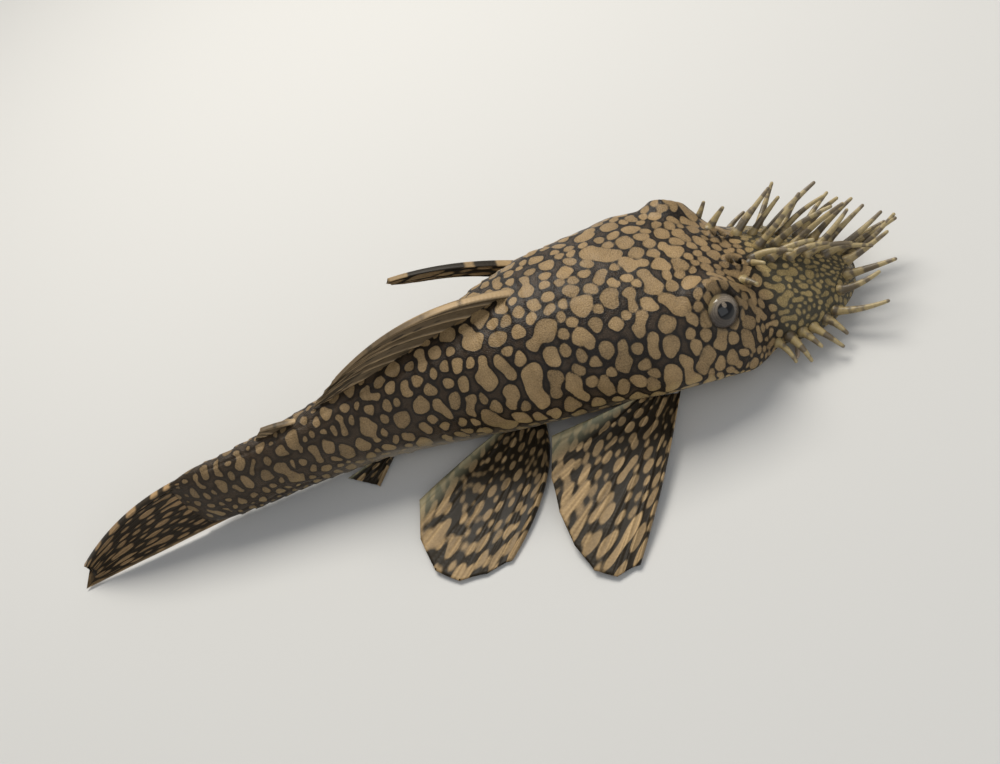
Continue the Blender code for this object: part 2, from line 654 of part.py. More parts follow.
def new_material(name):
    colour, roughness = MATERIALS[name]
    made = bpy.data.materials.new(name)
    made.use_nodes = True
    shader = made.node_tree.nodes["Principled BSDF"]
    shader.inputs["Base Color"].default_value = (*colour, 1.0)
    shader.inputs["Roughness"].default_value = roughness
    made.diffuse_color = (*colour, 1.0)
    return made


def main():
    clear_scene()
    skin, fins, eyes = (new_material(name) for name in MATERIALS)
    head(skin)
    trunk(skin)
    tail(skin)
    ball("eye_right", eye_centre(-1), EYE_RADIUS * HEAD_LENGTH, eyes)
    ball("eye_left", eye_centre(1), EYE_RADIUS * HEAD_LENGTH, eyes)
    paired_fin("pectoral_fin_right", -1, PECTORAL_SPREAD, fins, PECTORAL_SPINE)
    paired_fin("pectoral_fin_left", 1, PECTORAL_SWEPT, fins, PECTORAL_SPINE, upright=True)
    paired_fin("pelvic_fin_right", -1, PELVIC_SPREAD, fins, PELVIC_SPINE)
    paired_fin("pelvic_fin_left", 1, PELVIC_CLOSED, fins, PELVIC_SPINE)
    dorsal(fins)
    adipose(fins)
    anal(fins)
    caudal(fins)
    for made in bpy.context.scene.collection.all_objects:
        made.data.shade_smooth()
        made.data.set_sharp_from_angle(angle=math.radians(40))


main()
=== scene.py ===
import math
import random

import bpy
import numpy as np
from mathutils import Matrix, Vector
from mathutils.kdtree import KDTree


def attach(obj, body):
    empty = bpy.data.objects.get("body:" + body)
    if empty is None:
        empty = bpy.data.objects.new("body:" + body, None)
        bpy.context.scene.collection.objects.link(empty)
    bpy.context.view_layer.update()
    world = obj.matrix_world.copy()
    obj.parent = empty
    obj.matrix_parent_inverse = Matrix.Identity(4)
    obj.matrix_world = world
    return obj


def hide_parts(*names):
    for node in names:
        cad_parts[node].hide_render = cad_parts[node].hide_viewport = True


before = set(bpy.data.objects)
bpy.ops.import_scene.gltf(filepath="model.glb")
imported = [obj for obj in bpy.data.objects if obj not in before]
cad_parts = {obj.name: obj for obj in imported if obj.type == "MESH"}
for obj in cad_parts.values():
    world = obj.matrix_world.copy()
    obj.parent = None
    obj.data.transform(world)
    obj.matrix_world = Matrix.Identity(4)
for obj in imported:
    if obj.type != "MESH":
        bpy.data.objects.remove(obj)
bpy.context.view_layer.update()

# Driving sizes, shared with the solids: lengths are in head lengths until a mesh is made
HEAD_LENGTH = 0.038
MM = 0.001 / HEAD_LENGTH
SNOUT_TIP = 0.03
BELLY_CENTRE = 1.10
TAIL_BASE = 2.56

EYE_AT, EYE_OUT, EYE_UP, EYE_RADIUS = 0.576, 0.264, 0.345, 0.067
BROW_REACH, BROW_WIDTH, BROW_HEIGHT = 0.085, 0.039, 0.050
SOCKET_REACH, SOCKET_DEPTH = 0.100, 0.030
NOSTRIL_AT, NOSTRIL_OUT, NOSTRIL_RADIUS = 0.448, 0.076, 0.026
MOUTH_AT, MOUTH_HALF_LENGTH, MOUTH_HALF_WIDTH = 0.285, 0.185, 0.225
GAPE_DEPTH, GAPE_HALF_LENGTH, GAPE_HALF_WIDTH = 0.040, 0.058, 0.140

BACK = ((0.03, 0.090), (0.055, 0.135), (0.115, 0.186), (0.25, 0.258), (0.43, 0.341), (0.60, 0.452),
        (0.85, 0.518), (1.14, 0.551), (1.50, 0.499), (1.86, 0.427), (2.25, 0.355), (2.60, 0.334))
BELLY = ((0.03, 0.062), (0.08, 0.036), (0.20, 0.030), (0.50, 0.026), (0.70, -0.010),
         (0.90, -0.035), (1.40, -0.035), (1.70, -0.004), (1.95, 0.022), (2.25, 0.030), (2.60, 0.025))
FLANK = ((0.03, 0.045), (0.05, 0.098), (0.10, 0.163), (0.17, 0.220), (0.28, 0.272), (0.39, 0.286),
         (0.55, 0.372), (0.75, 0.386), (0.95, 0.350), (1.20, 0.310), (1.55, 0.212), (1.90, 0.128),
         (2.25, 0.096), (2.60, 0.060))
WIDEST_UP = ((0.0, 0.080), (0.15, 0.062), (0.45, 0.098), (0.80, 0.230), (1.20, 0.240),
             (1.90, 0.240), (2.60, 0.180))
ROUND_ABOVE = ((0.0, 2.0), (0.30, 2.1), (0.60, 2.5), (1.00, 2.35), (1.60, 2.17), (2.60, 2.0))
ROUND_BELOW = ((0.0, 2.0), (0.20, 2.4), (0.60, 2.0), (1.50, 1.7), (2.00, 1.7), (2.60, 2.0))
AXIS = ((0.03, -0.034), (0.15, -0.024), (0.35, -0.010), (0.60, -0.002), (0.80, 0.0), (2.60, 0.0))

PLATES_FROM, PLATES_TO, PLATE_LENGTH, PLATE_LIFT = 0.98, 2.54, 0.065, 0.0045
PLATE_ROWS, PLATE_SEAM = 5, 0.0035
NAKED_BELLY_TO = 1.80

# How far the skin runs on over the tail fin, thinning
TAIL_BLEND = 0.14

# The fineness of the skin: rows along the head and the rest of the body, and points round each
HEAD_ROWS, BODY_ROWS, SKIN_SIDES = 210, 270, 288

# The camera, from the photograph
CAMERA_AT = (0.00381, -0.10287, 0.11381)
CAMERA_AZIMUTH, CAMERA_ELEVATION, CAMERA_ROLL = -81.81, 46.14, -28.16
CAMERA_LENS = 37.64


def read(table, places):
    """The sizes that an outline gives at places, on a curve that never overshoots its points."""
    at, size = (np.array(column, float) for column in zip(*table))
    step = np.diff(at)
    slope = np.diff(size) / step
    tangent = np.zeros(len(at))
    tangent[0], tangent[-1] = slope[0], slope[-1]
    for i in range(1, len(at) - 1):
        if slope[i - 1] * slope[i] > 0:
            tangent[i] = (step[i - 1] + step[i]) / (step[i - 1] / slope[i] + step[i] / slope[i - 1])
    places = np.clip(np.asarray(places, float), at[0], at[-1])
    i = np.clip(np.searchsorted(at, places, side="right") - 1, 0, len(at) - 2)
    t = (places - at[i]) / step[i]
    ends = (1 + 2 * t) * (1 - t) ** 2 * size[i] + t * t * (3 - 2 * t) * size[i + 1]
    lean = t * (1 - t) ** 2 * tangent[i] - t * t * (1 - t) * tangent[i + 1]
    return ends + step[i] * lean


def smooth_step(low, high, value):
    t = np.clip((value - low) / (high - low), 0.0, 1.0)
    return t * t * (3 - 2 * t)


def signed_power(value, power):
    return np.sign(value) * np.abs(value) ** power


def to_metres(place, out, up):
    """Points from places, distances to the left and heights, all in head lengths."""
    place, out, up = np.broadcast_arrays(place, out, up)
    return np.stack([BELLY_CENTRE - place, out + read(AXIS, place), up], -1) * HEAD_LENGTH


def ripple(points, wavelength, seed, waves=9):
    """A smooth random value at each point, about -1 to 1, with features of a given size."""
    chance = np.random.default_rng(seed)
    total = np.zeros(points.shape[:-1])
    for _ in range(waves):
        way = chance.normal(size=3)
        way *= 2 * math.pi / wavelength / np.linalg.norm(way) * chance.uniform(0.7, 1.4)
        total += np.sin(points @ way + chance.uniform(0, 2 * math.pi))
    return total / math.sqrt(waves)


def length_of(vectors):
    return np.sqrt((vectors ** 2).sum(-1))


def unit(vectors):
    return vectors / np.maximum(length_of(vectors), 1e-12)[..., None]


def grid_normals(points, wrap):
    """The way out of a surface at each point of its grid."""
    if wrap:
        across = np.roll(points, -1, 1) - np.roll(points, 1, 1)
    else:
        across = np.gradient(points, axis=1)
    along = np.gradient(points, axis=0)
    return unit(np.cross(across, along))


# Meshes

def object_from(name, points, faces, material, fields=None):
    """A smooth mesh object that rides on the fish, with its fields kept at its points."""
    mesh = bpy.data.meshes.new(name)
    mesh.from_pydata(points.reshape(-1, 3).tolist(), [], faces)
    mesh.update()
    for field, values in (fields or {}).items():
        layer = mesh.attributes.new(field, "FLOAT", "POINT")
        layer.data.foreach_set("value", np.asarray(values, np.float32).ravel())
    mesh.materials.append(material)
    mesh.shade_smooth()
    made = bpy.data.objects.new(name, mesh)
    bpy.context.scene.collection.objects.link(made)
    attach(made, "root")
    return made


def tube_grid_faces(rows, columns, start=0, first_cap=True, last_cap=True):
    """Faces of a closed tube whose rows go round it, with its ends closed by one face each."""
    faces = []
    for row in range(rows - 1):
        a = start + row * columns
        for column in range(columns):
            following = (column + 1) % columns
            faces.append((a + column, a + following, a + columns + following, a + columns + column))
    if first_cap:
        faces.append(tuple(start + column for column in reversed(range(columns))))
    if last_cap:
        faces.append(tuple(start + (rows - 1) * columns + column for column in range(columns)))
    return faces


def tube_object(name, points, material, fields=None):
    """One closed tube from rows of points that go round it."""
    rows, columns = points.shape[:2]
    return object_from(name, points, tube_grid_faces(rows, columns), material, fields)


def tubes_object(name, tubes, material):
    """Many closed tubes as one object. Each is (points, fields), all with the same field names."""
    faces, points, fields = [], [], {}
    start = 0
    for grid, values in tubes:
        faces += tube_grid_faces(*grid.shape[:2], start)
        points.append(grid.reshape(-1, 3))
        for field, value in values.items():
            fields.setdefault(field, []).append(np.broadcast_to(value, grid.shape[:2]).ravel())
        start += grid.shape[0] * grid.shape[1]
    joined = {field: np.concatenate(value) for field, value in fields.items()}
    return object_from(name, np.concatenate(points), faces, material, joined)


# Shader maths

class Paint:
    """A value, colour or vector that varies over a surface, as a socket of a material's nodes."""

    def __init__(self, tree, socket=None):
        self.tree, self.socket = tree, socket

    def node(self, kind, settings=None, inputs=None, output=0, stops=None):
        made = self.tree.nodes.new(kind)
        for key, value in (settings or {}).items():
            setattr(made, key, value)
        if stops:
            ramp = made.color_ramp
            while len(ramp.elements) < len(stops):
                ramp.elements.new(1.0)
            for element, (at, colour) in zip(ramp.elements, stops):
                element.position, element.color = at, (*colour, 1.0)
        for key, value in (inputs or {}).items():
            if isinstance(value, Paint):
                self.tree.links.new(value.socket, made.inputs[key])
            else:
                made.inputs[key].default_value = value
        return Paint(self.tree, made.outputs[output])

    def maths(self, operation, *values, clamp=False):
        settings = {"operation": operation, "use_clamp": clamp}
        return self.node("ShaderNodeMath", settings, dict(enumerate(values)))

    def __add__(self, other):
        return self.maths("ADD", self, other)

    def __sub__(self, other):
        return self.maths("SUBTRACT", self, other)

    def __rsub__(self, other):
        return self.maths("SUBTRACT", other, self)

    def __mul__(self, other):
        return self.maths("MULTIPLY", self, other)

    def __truediv__(self, other):
        return self.maths("DIVIDE", self, other)

    __radd__, __rmul__ = __add__, __mul__

    def rising(self, low, high):
        """0 below low, 1 above high, and a smooth rise between them."""
        settings = {"interpolation_type": "SMOOTHSTEP"}
        return self.node("ShaderNodeMapRange", settings, {"Value": self, "From Min": low, "From Max": high})

    def field(self, name):
        return self.node("ShaderNodeAttribute", {"attribute_name": name}, output="Fac")

    def place(self):
        return self.node("ShaderNodeTexCoord", output="Object")

    def noise(self, scale, detail=2.0, roughness=0.5, at=None):
        inputs = {"Vector": at or self.place(), "Scale": scale, "Detail": detail, "Roughness": roughness}
        return self.node("ShaderNodeTexNoise", None, inputs)

    def cells(self, scale, feature="F1", randomness=1.0, at=None):
        inputs = {"Vector": at or self.place(), "Scale": scale, "Randomness": randomness}
        return self.node("ShaderNodeTexVoronoi", {"feature": feature}, inputs)

    def mixed(self, share, first, second, blend="MIX"):
        """A colour between two others, or one blended over another."""
        first, second = (c if isinstance(c, Paint) else (*c, 1.0) for c in (first, second))
        return self.node("ShaderNodeMix", {"data_type": "RGBA", "blend_type": blend},
                         {0: share, 6: first, 7: second}, output=2)

    def shaded(self, colour, strength):
        """A colour made lighter or darker by a value about 1."""
        grey = self.node("ShaderNodeCombineColor", None, {0: strength, 1: strength, 2: strength})
        return self.mixed(1.0, colour, grey, "MULTIPLY")

    def bumped(self, height, distance, strength=1.0, under=None):
        inputs = {"Height": height, "Distance": distance, "Strength": strength}
        if under is not None:
            inputs["Normal"] = under
        return self.node("ShaderNodeBump", None, inputs)


def finish_of(name):
    """A new material, its painter and its shader."""
    made = bpy.data.materials.new(name)
    made.use_nodes = True
    tree = made.node_tree
    return made, Paint(tree), tree.nodes["Principled BSDF"]


def wire(shader, **inputs):
    """Sets sockets of a shader, by name with underscores for spaces, to values or paints."""
    for key, value in inputs.items():
        socket = shader.inputs[key.replace("_", " ")]
        if isinstance(value, Paint):
            value.tree.links.new(value.socket, socket)
        else:
            socket.default_value = value


# The net of dark lines between tan spots, worked out over a surface

class Spots:
    """Tan spots thrown over a surface as closely as their sizes allow, some run together."""

    def __init__(self, points, radius, chance, joined=0.3, join_way=None, longest=3):
        """points are in mm, one row each, in order along x; radius is wanted at each point."""
        self.points = points
        room = np.full(len(points), np.inf)
        centres, sizes = [], []
        for i in chance.permutation(len(points)):
            wanted = radius[i] * chance.uniform(0.72, 1.38)
            if room[i] < 0.70 * radius[i]:
                continue
            size = min(wanted, room[i])
            centres.append(points[i])
            sizes.append(size)
            window = self.window(points[i][0], 2.6 * size + 3.0 * radius[i])
            away = length_of(points[window] - points[i])
            room[window] = np.minimum(room[window], away - size)
        self.centres, self.sizes = np.array(centres), np.array(sizes)
        self.group = np.arange(len(sizes))
        self.links = []
        self.join(chance, joined, join_way, longest)

    def window(self, x, reach):
        """The points whose x is within reach."""
        low, high = np.searchsorted(self.points[:, 0], (x - reach, x + reach))
        return slice(low, high)

    def join(self, chance, joined, join_way, longest):
        """Runs some neighbouring spots together, more readily along the way that is given."""
        members = {i: 1 for i in self.group}
        for i in chance.permutation(len(self.sizes)):
            if chance.random() > joined:
                continue
            gap = self.centres - self.centres[i]
            away = length_of(gap) / (self.sizes + self.sizes[i])
            if join_way is not None:
                lined = np.abs((unit(gap) * join_way(self.centres[i])).sum(-1))
                away = away + 0.5 * (1 - lined)
            away[self.group == self.group[i]] = np.inf
            j = int(np.argmin(away))
            a, b = self.group[i], self.group[j]
            if away[j] > 1.5 or members[a] + members[b] > longest:
                continue
            self.group[self.group == b] = a
            members[a] += members[b]
            self.links.append((i, j))

    def fields(self, gap, reach=1.25, corner=0.07):
        """How far each point is inside a spot, in mm, less half the gap, and its spot's number.

        Spots share the room between them, as cells with rounded corners."""
        centres, sizes, groups = list(self.centres), list(self.sizes), list(self.group)
        for i, j in self.links:
            for t in (0.33, 0.5, 0.67):
                centres.append(self.centres[i] * (1 - t) + self.centres[j] * t)
                sizes.append(0.92 * min(self.sizes[i], self.sizes[j]))
                groups.append(self.group[i])
        centres, sizes, groups = np.array(centres), np.array(sizes), np.array(groups)
        tree = KDTree(len(centres))
        for number, centre in enumerate(centres):
            tree.insert(centre, number)
        tree.balance()
        near = np.array([[hit[1] for hit in tree.find_n(point, 9)] for point in self.points])
        at, size, group = centres[near], sizes[near], groups[near]
        away = length_of(self.points[:, None] - at)
        power = away ** 2 - size ** 2
        every = np.arange(len(near))
        owner = group[every, np.argmin(power[:, :5], 1)]
        rival = group != owner[:, None]
        walls = np.full(power.shape, -np.inf)
        edge = np.full(len(near), -np.inf)
        for m in range(5):
            between = length_of(at - at[:, m:m + 1]) + 1e-6
            wall = (power - power[:, m:m + 1]) / (2 * between)
            own = ~rival[:, m]
            walls = np.where(own[:, None], np.maximum(walls, wall), walls)
            edge = np.where(own, np.maximum(edge, reach * size[:, m] - away[:, m]), edge)
        walls = np.where(rival, walls, 9.0)
        walls = np.concatenate([walls, edge[:, None]], 1)
        least = walls.min(1)
        soft = corner * size[every, np.argmin(power[:, :5], 1)]
        inside = least - soft * np.log(np.exp((least[:, None] - walls) / soft[:, None]).sum(1))
        return inside - gap / 2, owner


def rounded(field, passes, wrap):
    """A field on a grid, smoothed so that sharp corners become round."""
    for _ in range(passes):
        padded = np.pad(field, ((1, 1), (0, 0)), "edge")
        field = (padded[:-2] + 2 * field + padded[2:]) / 4
        if wrap:
            field = (np.roll(field, 1, 1) + 2 * field + np.roll(field, -1, 1)) / 4
        else:
            padded = np.pad(field, ((0, 0), (1, 1)), "edge")
            field = (padded[:, :-2] + 2 * field + padded[:, 2:]) / 4
    return field


# The skin of head, trunk and tail

def section(places, turns):
    """The plain outline: turn 0 is the left side, a quarter turn the back."""
    across, upward = np.cos(turns), np.sin(turns)
    middle = read(WIDEST_UP, places)
    power = np.where(upward >= 0, 2 / read(ROUND_ABOVE, places), 2 / read(ROUND_BELOW, places))
    reach = np.where(upward >= 0, read(BACK, places) - middle, middle - read(BELLY, places))
    return read(FLANK, places) * signed_power(across, power), middle + reach * signed_power(upward, power)


def even_turns(places, sides):
    """Turns that set the points of each section evenly round it."""
    fine = np.linspace(-math.pi / 2, 1.5 * math.pi, 1441)
    turns = np.empty((len(places), sides))
    for row, place in enumerate(places):
        out, up = section(np.full(len(fine), place), fine)
        walked = np.concatenate([[0], np.cumsum(np.hypot(np.diff(out), np.diff(up)))])
        turns[row] = np.interp(np.linspace(0, walked[-1], sides + 1)[:-1], walked, fine)
    return turns


def eye_distance(place, out, up):
    return np.sqrt((place - EYE_AT) ** 2 + (np.abs(out) - EYE_OUT) ** 2 + (up - EYE_UP) ** 2)


def brow_lift(place, out, up):
    """The rim over each eye, and the hollow beneath it that the eye looks out of."""
    away = eye_distance(place, out, up)
    over = np.clip(0.5 + (EYE_OUT - np.abs(out) + 0.3 * (up - EYE_UP)) / (2 * EYE_RADIUS), 0, 1)
    rim = BROW_HEIGHT * over * np.exp(-(((away - BROW_REACH) / BROW_WIDTH) ** 2))
    return rim - SOCKET_DEPTH * (1 - over) * np.exp(-((away / SOCKET_REACH) ** 2))


def lid_lift(place, out, up):
    """A low fold of skin close round each eye."""
    away = eye_distance(place, out, up)
    return 0.017 * np.exp(-(((away - EYE_RADIUS * 1.12) / 0.012) ** 2))


def plate_lift(place, turn):
    """Plates rise towards their rear edge and dip at the seams between their rows."""
    along = ((place - PLATES_FROM) / PLATE_LENGTH) % 1.0
    row = (turn / math.pi * PLATE_ROWS) % 1.0
    seam = np.exp(-((np.minimum(row, 1 - row) / 0.12) ** 2))
    lift = PLATE_LIFT * along * (1 - smooth_step(0.93, 1.0, along)) - PLATE_SEAM * seam
    naked = (np.sin(turn) < -0.55) & (place < NAKED_BELLY_TO)
    fade = smooth_step(PLATES_FROM - 0.02, PLATES_FROM + 0.10, place) * (place < PLATES_TO)
    return np.where(naked, 0.0, lift) * fade


def nostril_lift(place, out, up):
    """A raised flap behind each pair of openings, and the two pits."""
    lift = np.zeros(np.shape(place))
    above = up > 0.2
    for side in (-1, 1):
        across = out - side * NOSTRIL_OUT
        away = np.hypot(place - NOSTRIL_AT, across)
        rim = 0.016 * np.exp(-(((away - NOSTRIL_RADIUS) / 0.010) ** 2))
        flap = 0.014 * np.exp(-(((place - NOSTRIL_AT) / 0.008) ** 2) - (across / 0.020) ** 2)
        pits = 0.0
        for shift in (-0.017, 0.015):
            pits = pits + np.exp(-((place - NOSTRIL_AT - shift) / 0.009) ** 2 - (across / 0.013) ** 2)
        lift = lift + np.where(above, rim + flap - 0.028 * pits, 0.0)
    return lift


def gape_lift(place, out, up, upward):
    """How far the skin is pushed up inside the mouth, on the underside of the head."""
    across = np.sqrt(((place - MOUTH_AT) / GAPE_HALF_LENGTH) ** 2 + (out / GAPE_HALF_WIDTH) ** 2)
    return np.where(upward < 0, GAPE_DEPTH * 1.6 * (1 - smooth_step(0.75, 1.15, across)), 0.0)


def body_grid(places, turns):
    """Points of the skin in head lengths, as arrays of place, out and up."""
    out, up = section(places, turns)
    nudge = 0.01
    before, after = section(places, turns - nudge), section(places, turns + nudge)
    normal = unit(np.stack([after[1] - before[1], before[0] - after[0]], -1))
    upward = np.sin(turns)
    lift = brow_lift(places, out, up) + lid_lift(places, out, up) + plate_lift(places, turns)
    lift = lift + nostril_lift(places, out, up)
    grid = np.stack([places, out, up], -1)
    lift = lift + 0.0022 * ripple(grid, 0.16, 3) + 0.0010 * ripple(grid, 0.06, 4)
    out, up = out + normal[..., 0] * lift, up + normal[..., 1] * lift
    up = up + gape_lift(places, out, up, upward)
    return out, up


def skin_grid():
    """The whole skin, its two ends closed by rings that shrink: places, outs, ups and turns."""
    head = np.linspace(0.0, 1.0, HEAD_ROWS, endpoint=False) ** 1.25
    places = np.concatenate([SNOUT_TIP + (0.80 - SNOUT_TIP) * head, np.linspace(0.80, TAIL_BASE, BODY_ROWS)])
    turns = even_turns(places, SKIN_SIDES)
    place = np.repeat(places[:, None], SKIN_SIDES, 1)
    out, up = body_grid(place, turns)
    tip, tail = [], []
    for turn in np.linspace(math.radians(88), math.radians(10), 9):
        size, forward = math.cos(turn), 0.010 * math.sin(turn)
        middle = up[0].mean()
        tip.append((place[0] - forward, out[0] * size, middle + (up[0] - middle) * size, turns[0]))
    for share in np.linspace(0.05, 1.0, 20):
        thin = 0.16 + 0.84 * math.cos(share * math.pi / 2) ** 1.3
        low = up[-1].min()
        height = low + (up[-1] - low) * (1 - 0.085 * share ** 2)
        tail.append((place[-1] + TAIL_BLEND * share, out[-1] * thin, height, turns[-1]))
    return [np.concatenate([[row[k] for row in tip], whole, [row[k] for row in tail]])
            for k, whole in enumerate((place, out, up, turns))]


def wanted_radius(place, out, up):
    """The radius of the spots over the body in mm, which is small on the snout."""
    along = read(((0.03, 0.58), (0.25, 0.62), (0.40, 0.68), (0.55, 0.88), (0.75, 1.02), (1.10, 1.10),
                  (1.60, 1.08), (2.10, 0.95), (2.60, 0.85)), place)
    cheek = smooth_step(0.30, 0.16, up) * smooth_step(0.72, 0.60, place)
    hem = smooth_step(0.16, 0.06, up) * smooth_step(0.70, 0.90, place)
    return along * (1 - 0.40 * cheek) * (1 - 0.25 * hem)


def net_gap(place, up):
    """The width of the dark lines in mm."""
    return read(((0.03, 0.20), (0.45, 0.24), (0.90, 0.36), (1.40, 0.48), (2.10, 0.62), (2.60, 0.66)), place)


def flank_way(centre):
    """The way that spots run together: up and down on the flank, along on the snout."""
    return np.array([1.0, 0, 0]) if centre[0] < 0.35 / MM else np.array([0, 0.35, 0.94])


def skin_fields(place, out, up):
    """The markings of the skin, as fields over its grid."""
    stretch = np.where(place < 0.45, 0.80, 1.0)
    points = np.stack([place * stretch + 0.09 * (place >= 0.45), out, up * 0.72], -1) / MM
    points = points + 0.20 * np.stack([ripple(points, 2.6, seed) for seed in (21, 22, 23)], -1)
    rows, columns = place.shape
    order = np.argsort(points.reshape(-1, 3)[:, 0], kind="stable")
    flat = points.reshape(-1, 3)[order]
    radius = wanted_radius(place, out, up).ravel()[order]
    spots = Spots(flat, radius, np.random.default_rng(5), 0.20, flank_way, 2)
    gap = net_gap(place, up).ravel()[order]
    inside, owner = spots.fields(gap)
    edge, tone = np.empty(len(order)), np.empty(len(order))
    edge[order] = inside
    tones = np.random.default_rng(6).uniform(-1, 1, len(spots.sizes))
    tone[order] = tones[owner]
    edge = rounded(np.clip(edge.reshape(rows, columns), -0.6, 0.6), 1, True)
    return {"edge": edge, "tone": tone.reshape(rows, columns)}


def skin():
    place, out, up, turns = skin_grid()
    points = to_metres(place, out, np.maximum(up, 0.0001 / HEAD_LENGTH))
    fields = skin_fields(place, out, up)
    normals = grid_normals(points, True)
    # back: lighter where the skin faces up, partly the paler back and partly painted light from above with painted
    # shade on the flank
    fields["back"] = smooth_step(-0.1, 0.95, normals[..., 2])
    low = smooth_step(-0.25, -0.80, np.sin(turns))
    fields["pale"] = low * smooth_step(2.2, 1.8, place) * smooth_step(0.02, 0.10, place)
    fields["snout"] = smooth_step(0.42, 0.34, place)
    # A dark ring painted on the skin where it meets the eyeball: painted shade in the crease round the eye
    fields["eye_rim_shade"] = np.exp(-(((eye_distance(place, out, up) - EYE_RADIUS * 1.02) / 0.010) ** 2))
    fields["rear"] = smooth_step(1.3, 2.3, place)
    # The nostril pits are painted nearly black: painted shade inside the openings
    pit = np.hypot((place - NOSTRIL_AT) / 1.5, np.abs(out) - NOSTRIL_OUT)
    fields["pit"] = np.exp(-((pit / 0.014) ** 2)) * (up > 0.2)
    made = tube_object("skin", points, skin_finish(), fields)
    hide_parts("head", "trunk", "tail")


def skin_finish():
    made, paint, shader = finish_of("pleco_skin")
    edge, tone = paint.field("edge"), paint.field("tone")
    back, pale, snout = paint.field("back"), paint.field("pale"), paint.field("snout")
    grain = paint.noise(5000.0, 2.0, 0.6)
    granules = paint.cells(5200.0)
    mottle = paint.noise(420.0, 2.0)
    ragged = edge + 0.12 * (paint.noise(1700.0, 3.0) - 0.5)
    spot = ragged.rising(-0.05, 0.08)
    # The spots are mixed lighter where back is high: partly the paler back, partly painted top light and painted
    # flank shade
    gold = paint.mixed(back, (0.290, 0.192, 0.092), (0.620, 0.445, 0.195))
    gold = paint.mixed(snout * 0.7, gold, (0.300, 0.230, 0.095))
    speckle = 0.7 * (grain - 0.5) + 0.5 * (0.42 - granules)
    gold = paint.shaded(gold, 0.95 + 0.16 * tone + 0.5 * (mottle - 0.5) + speckle + 0.25 * edge)
    # The junctions and the lines are also lighter where back is high: partly the paler back, partly painted top
    # light and painted flank shade
    junction = paint.mixed(back, (0.045, 0.029, 0.017), (0.125, 0.095, 0.062))
    line = paint.mixed(back, (0.012, 0.008, 0.005), (0.026, 0.017, 0.009))
    line = paint.mixed(ragged.rising(-0.42, -0.12), junction, line)
    line = paint.mixed(snout * 0.7, line, (0.075, 0.066, 0.042))
    line = paint.shaded(line, 1.0 + 1.2 * (grain - 0.5))
    colour = paint.mixed(spot, line, gold)
    colour = paint.mixed(paint.field("rear") * 0.35, colour, (0.060, 0.040, 0.022))
    belly = paint.shaded((0.44, 0.37, 0.28), 0.85 + 0.4 * (mottle - 0.5))
    colour = paint.mixed(pale * (1.0 - 0.35 * spot), colour, belly)
    # Painted shade: the skin darkened in the crease round the eyeball
    colour = paint.mixed(paint.field("eye_rim_shade") * 0.6, colour, (0.045, 0.038, 0.028))
    # Painted shade in the nostril pits
    colour = paint.mixed(paint.field("pit") * 0.9, colour, (0.020, 0.015, 0.008))
    normal = paint.bumped(grain + 0.8 * granules + 0.5 * spot, 0.00012, 0.6)
    wire(shader, Base_Color=colour, Roughness=0.42 + 0.25 * (grain - 0.5), Normal=normal,
         Coat_Weight=0.05, Coat_Roughness=0.25, Specular_IOR_Level=0.22)
    return made


# Fins

# A paired fin has its first and last roots, the tips of its rays, and its first and last bows
PECTORAL_SPREAD = (((0.790, 0.300, 0.055), (0.960, 0.300, 0.120)),
                   ((1.138, 0.872, 0.012), (1.225, 0.890, 0.016), (1.290, 0.838, 0.022), (1.324, 0.728, 0.035),
                    (1.336, 0.590, 0.055), (1.324, 0.460, 0.080), (1.270, 0.322, 0.128)),
                   ((-0.012, 0.010, 0.012), (-0.012, 0.010, 0.012)))
PECTORAL_SWEPT = (((0.835, 0.300, 0.150), (0.960, 0.300, 0.075)),
                  ((1.660, 0.470, 0.432), (1.672, 0.466, 0.422), (1.655, 0.460, 0.411), (1.612, 0.455, 0.397),
                   (1.555, 0.450, 0.381), (1.490, 0.446, 0.363), (1.420, 0.442, 0.343)),
                  ((0.0, 0.010, 0.075), (0.0, 0.010, 0.045)))
PELVIC_SPREAD = (((1.285, 0.160, 0.020), (1.420, 0.110, 0.034)),
                 ((1.545, 0.672, 0.010), (1.645, 0.690, 0.012), (1.745, 0.680, 0.014), (1.822, 0.605, 0.018),
                  (1.852, 0.455, 0.022), (1.822, 0.290, 0.030)),
                 ((-0.060, 0.010, 0.008), (0.0, 0.0, 0.010)))
PELVIC_CLOSED = (((1.290, 0.160, 0.020), (1.420, 0.110, 0.034)),
                 ((1.690, 0.560, 0.010), (1.775, 0.550, 0.014), (1.835, 0.500, 0.018), (1.862, 0.425, 0.024),
                  (1.860, 0.330, 0.034), (1.815, 0.235, 0.045)),
                 ((-0.015, 0.010, 0.010), (-0.015, 0.010, 0.010)))
RAY_ASIDE = 0.006

FIN_STEPS, FIN_COLUMNS = 72, 14
MEMBRANE, MARGIN = 0.26 * MM, 0.12 * MM
RIDGE = 0.34 * MM
MARGIN_ROUNDING = 24


def evenly(first, last, number):
    return [first + (last - first) * i / (number - 1) for i in range(number)]


def between(first, last, t):
    return tuple(a + (b - a) * t for a, b in zip(first, last))


def paired_rays(shape, side):
    """The rays of a paired fin: side is -1 on the right and 1 on the left."""
    roots, tips, bows = shape
    rays = []
    for tip, t in zip(tips, evenly(0.0, 1.0, len(tips))):
        ray = (between(*roots, t), tip, between(*bows, t))
        rays.append(tuple((p, side * o, u) for p, o, u in ray))
    return rays


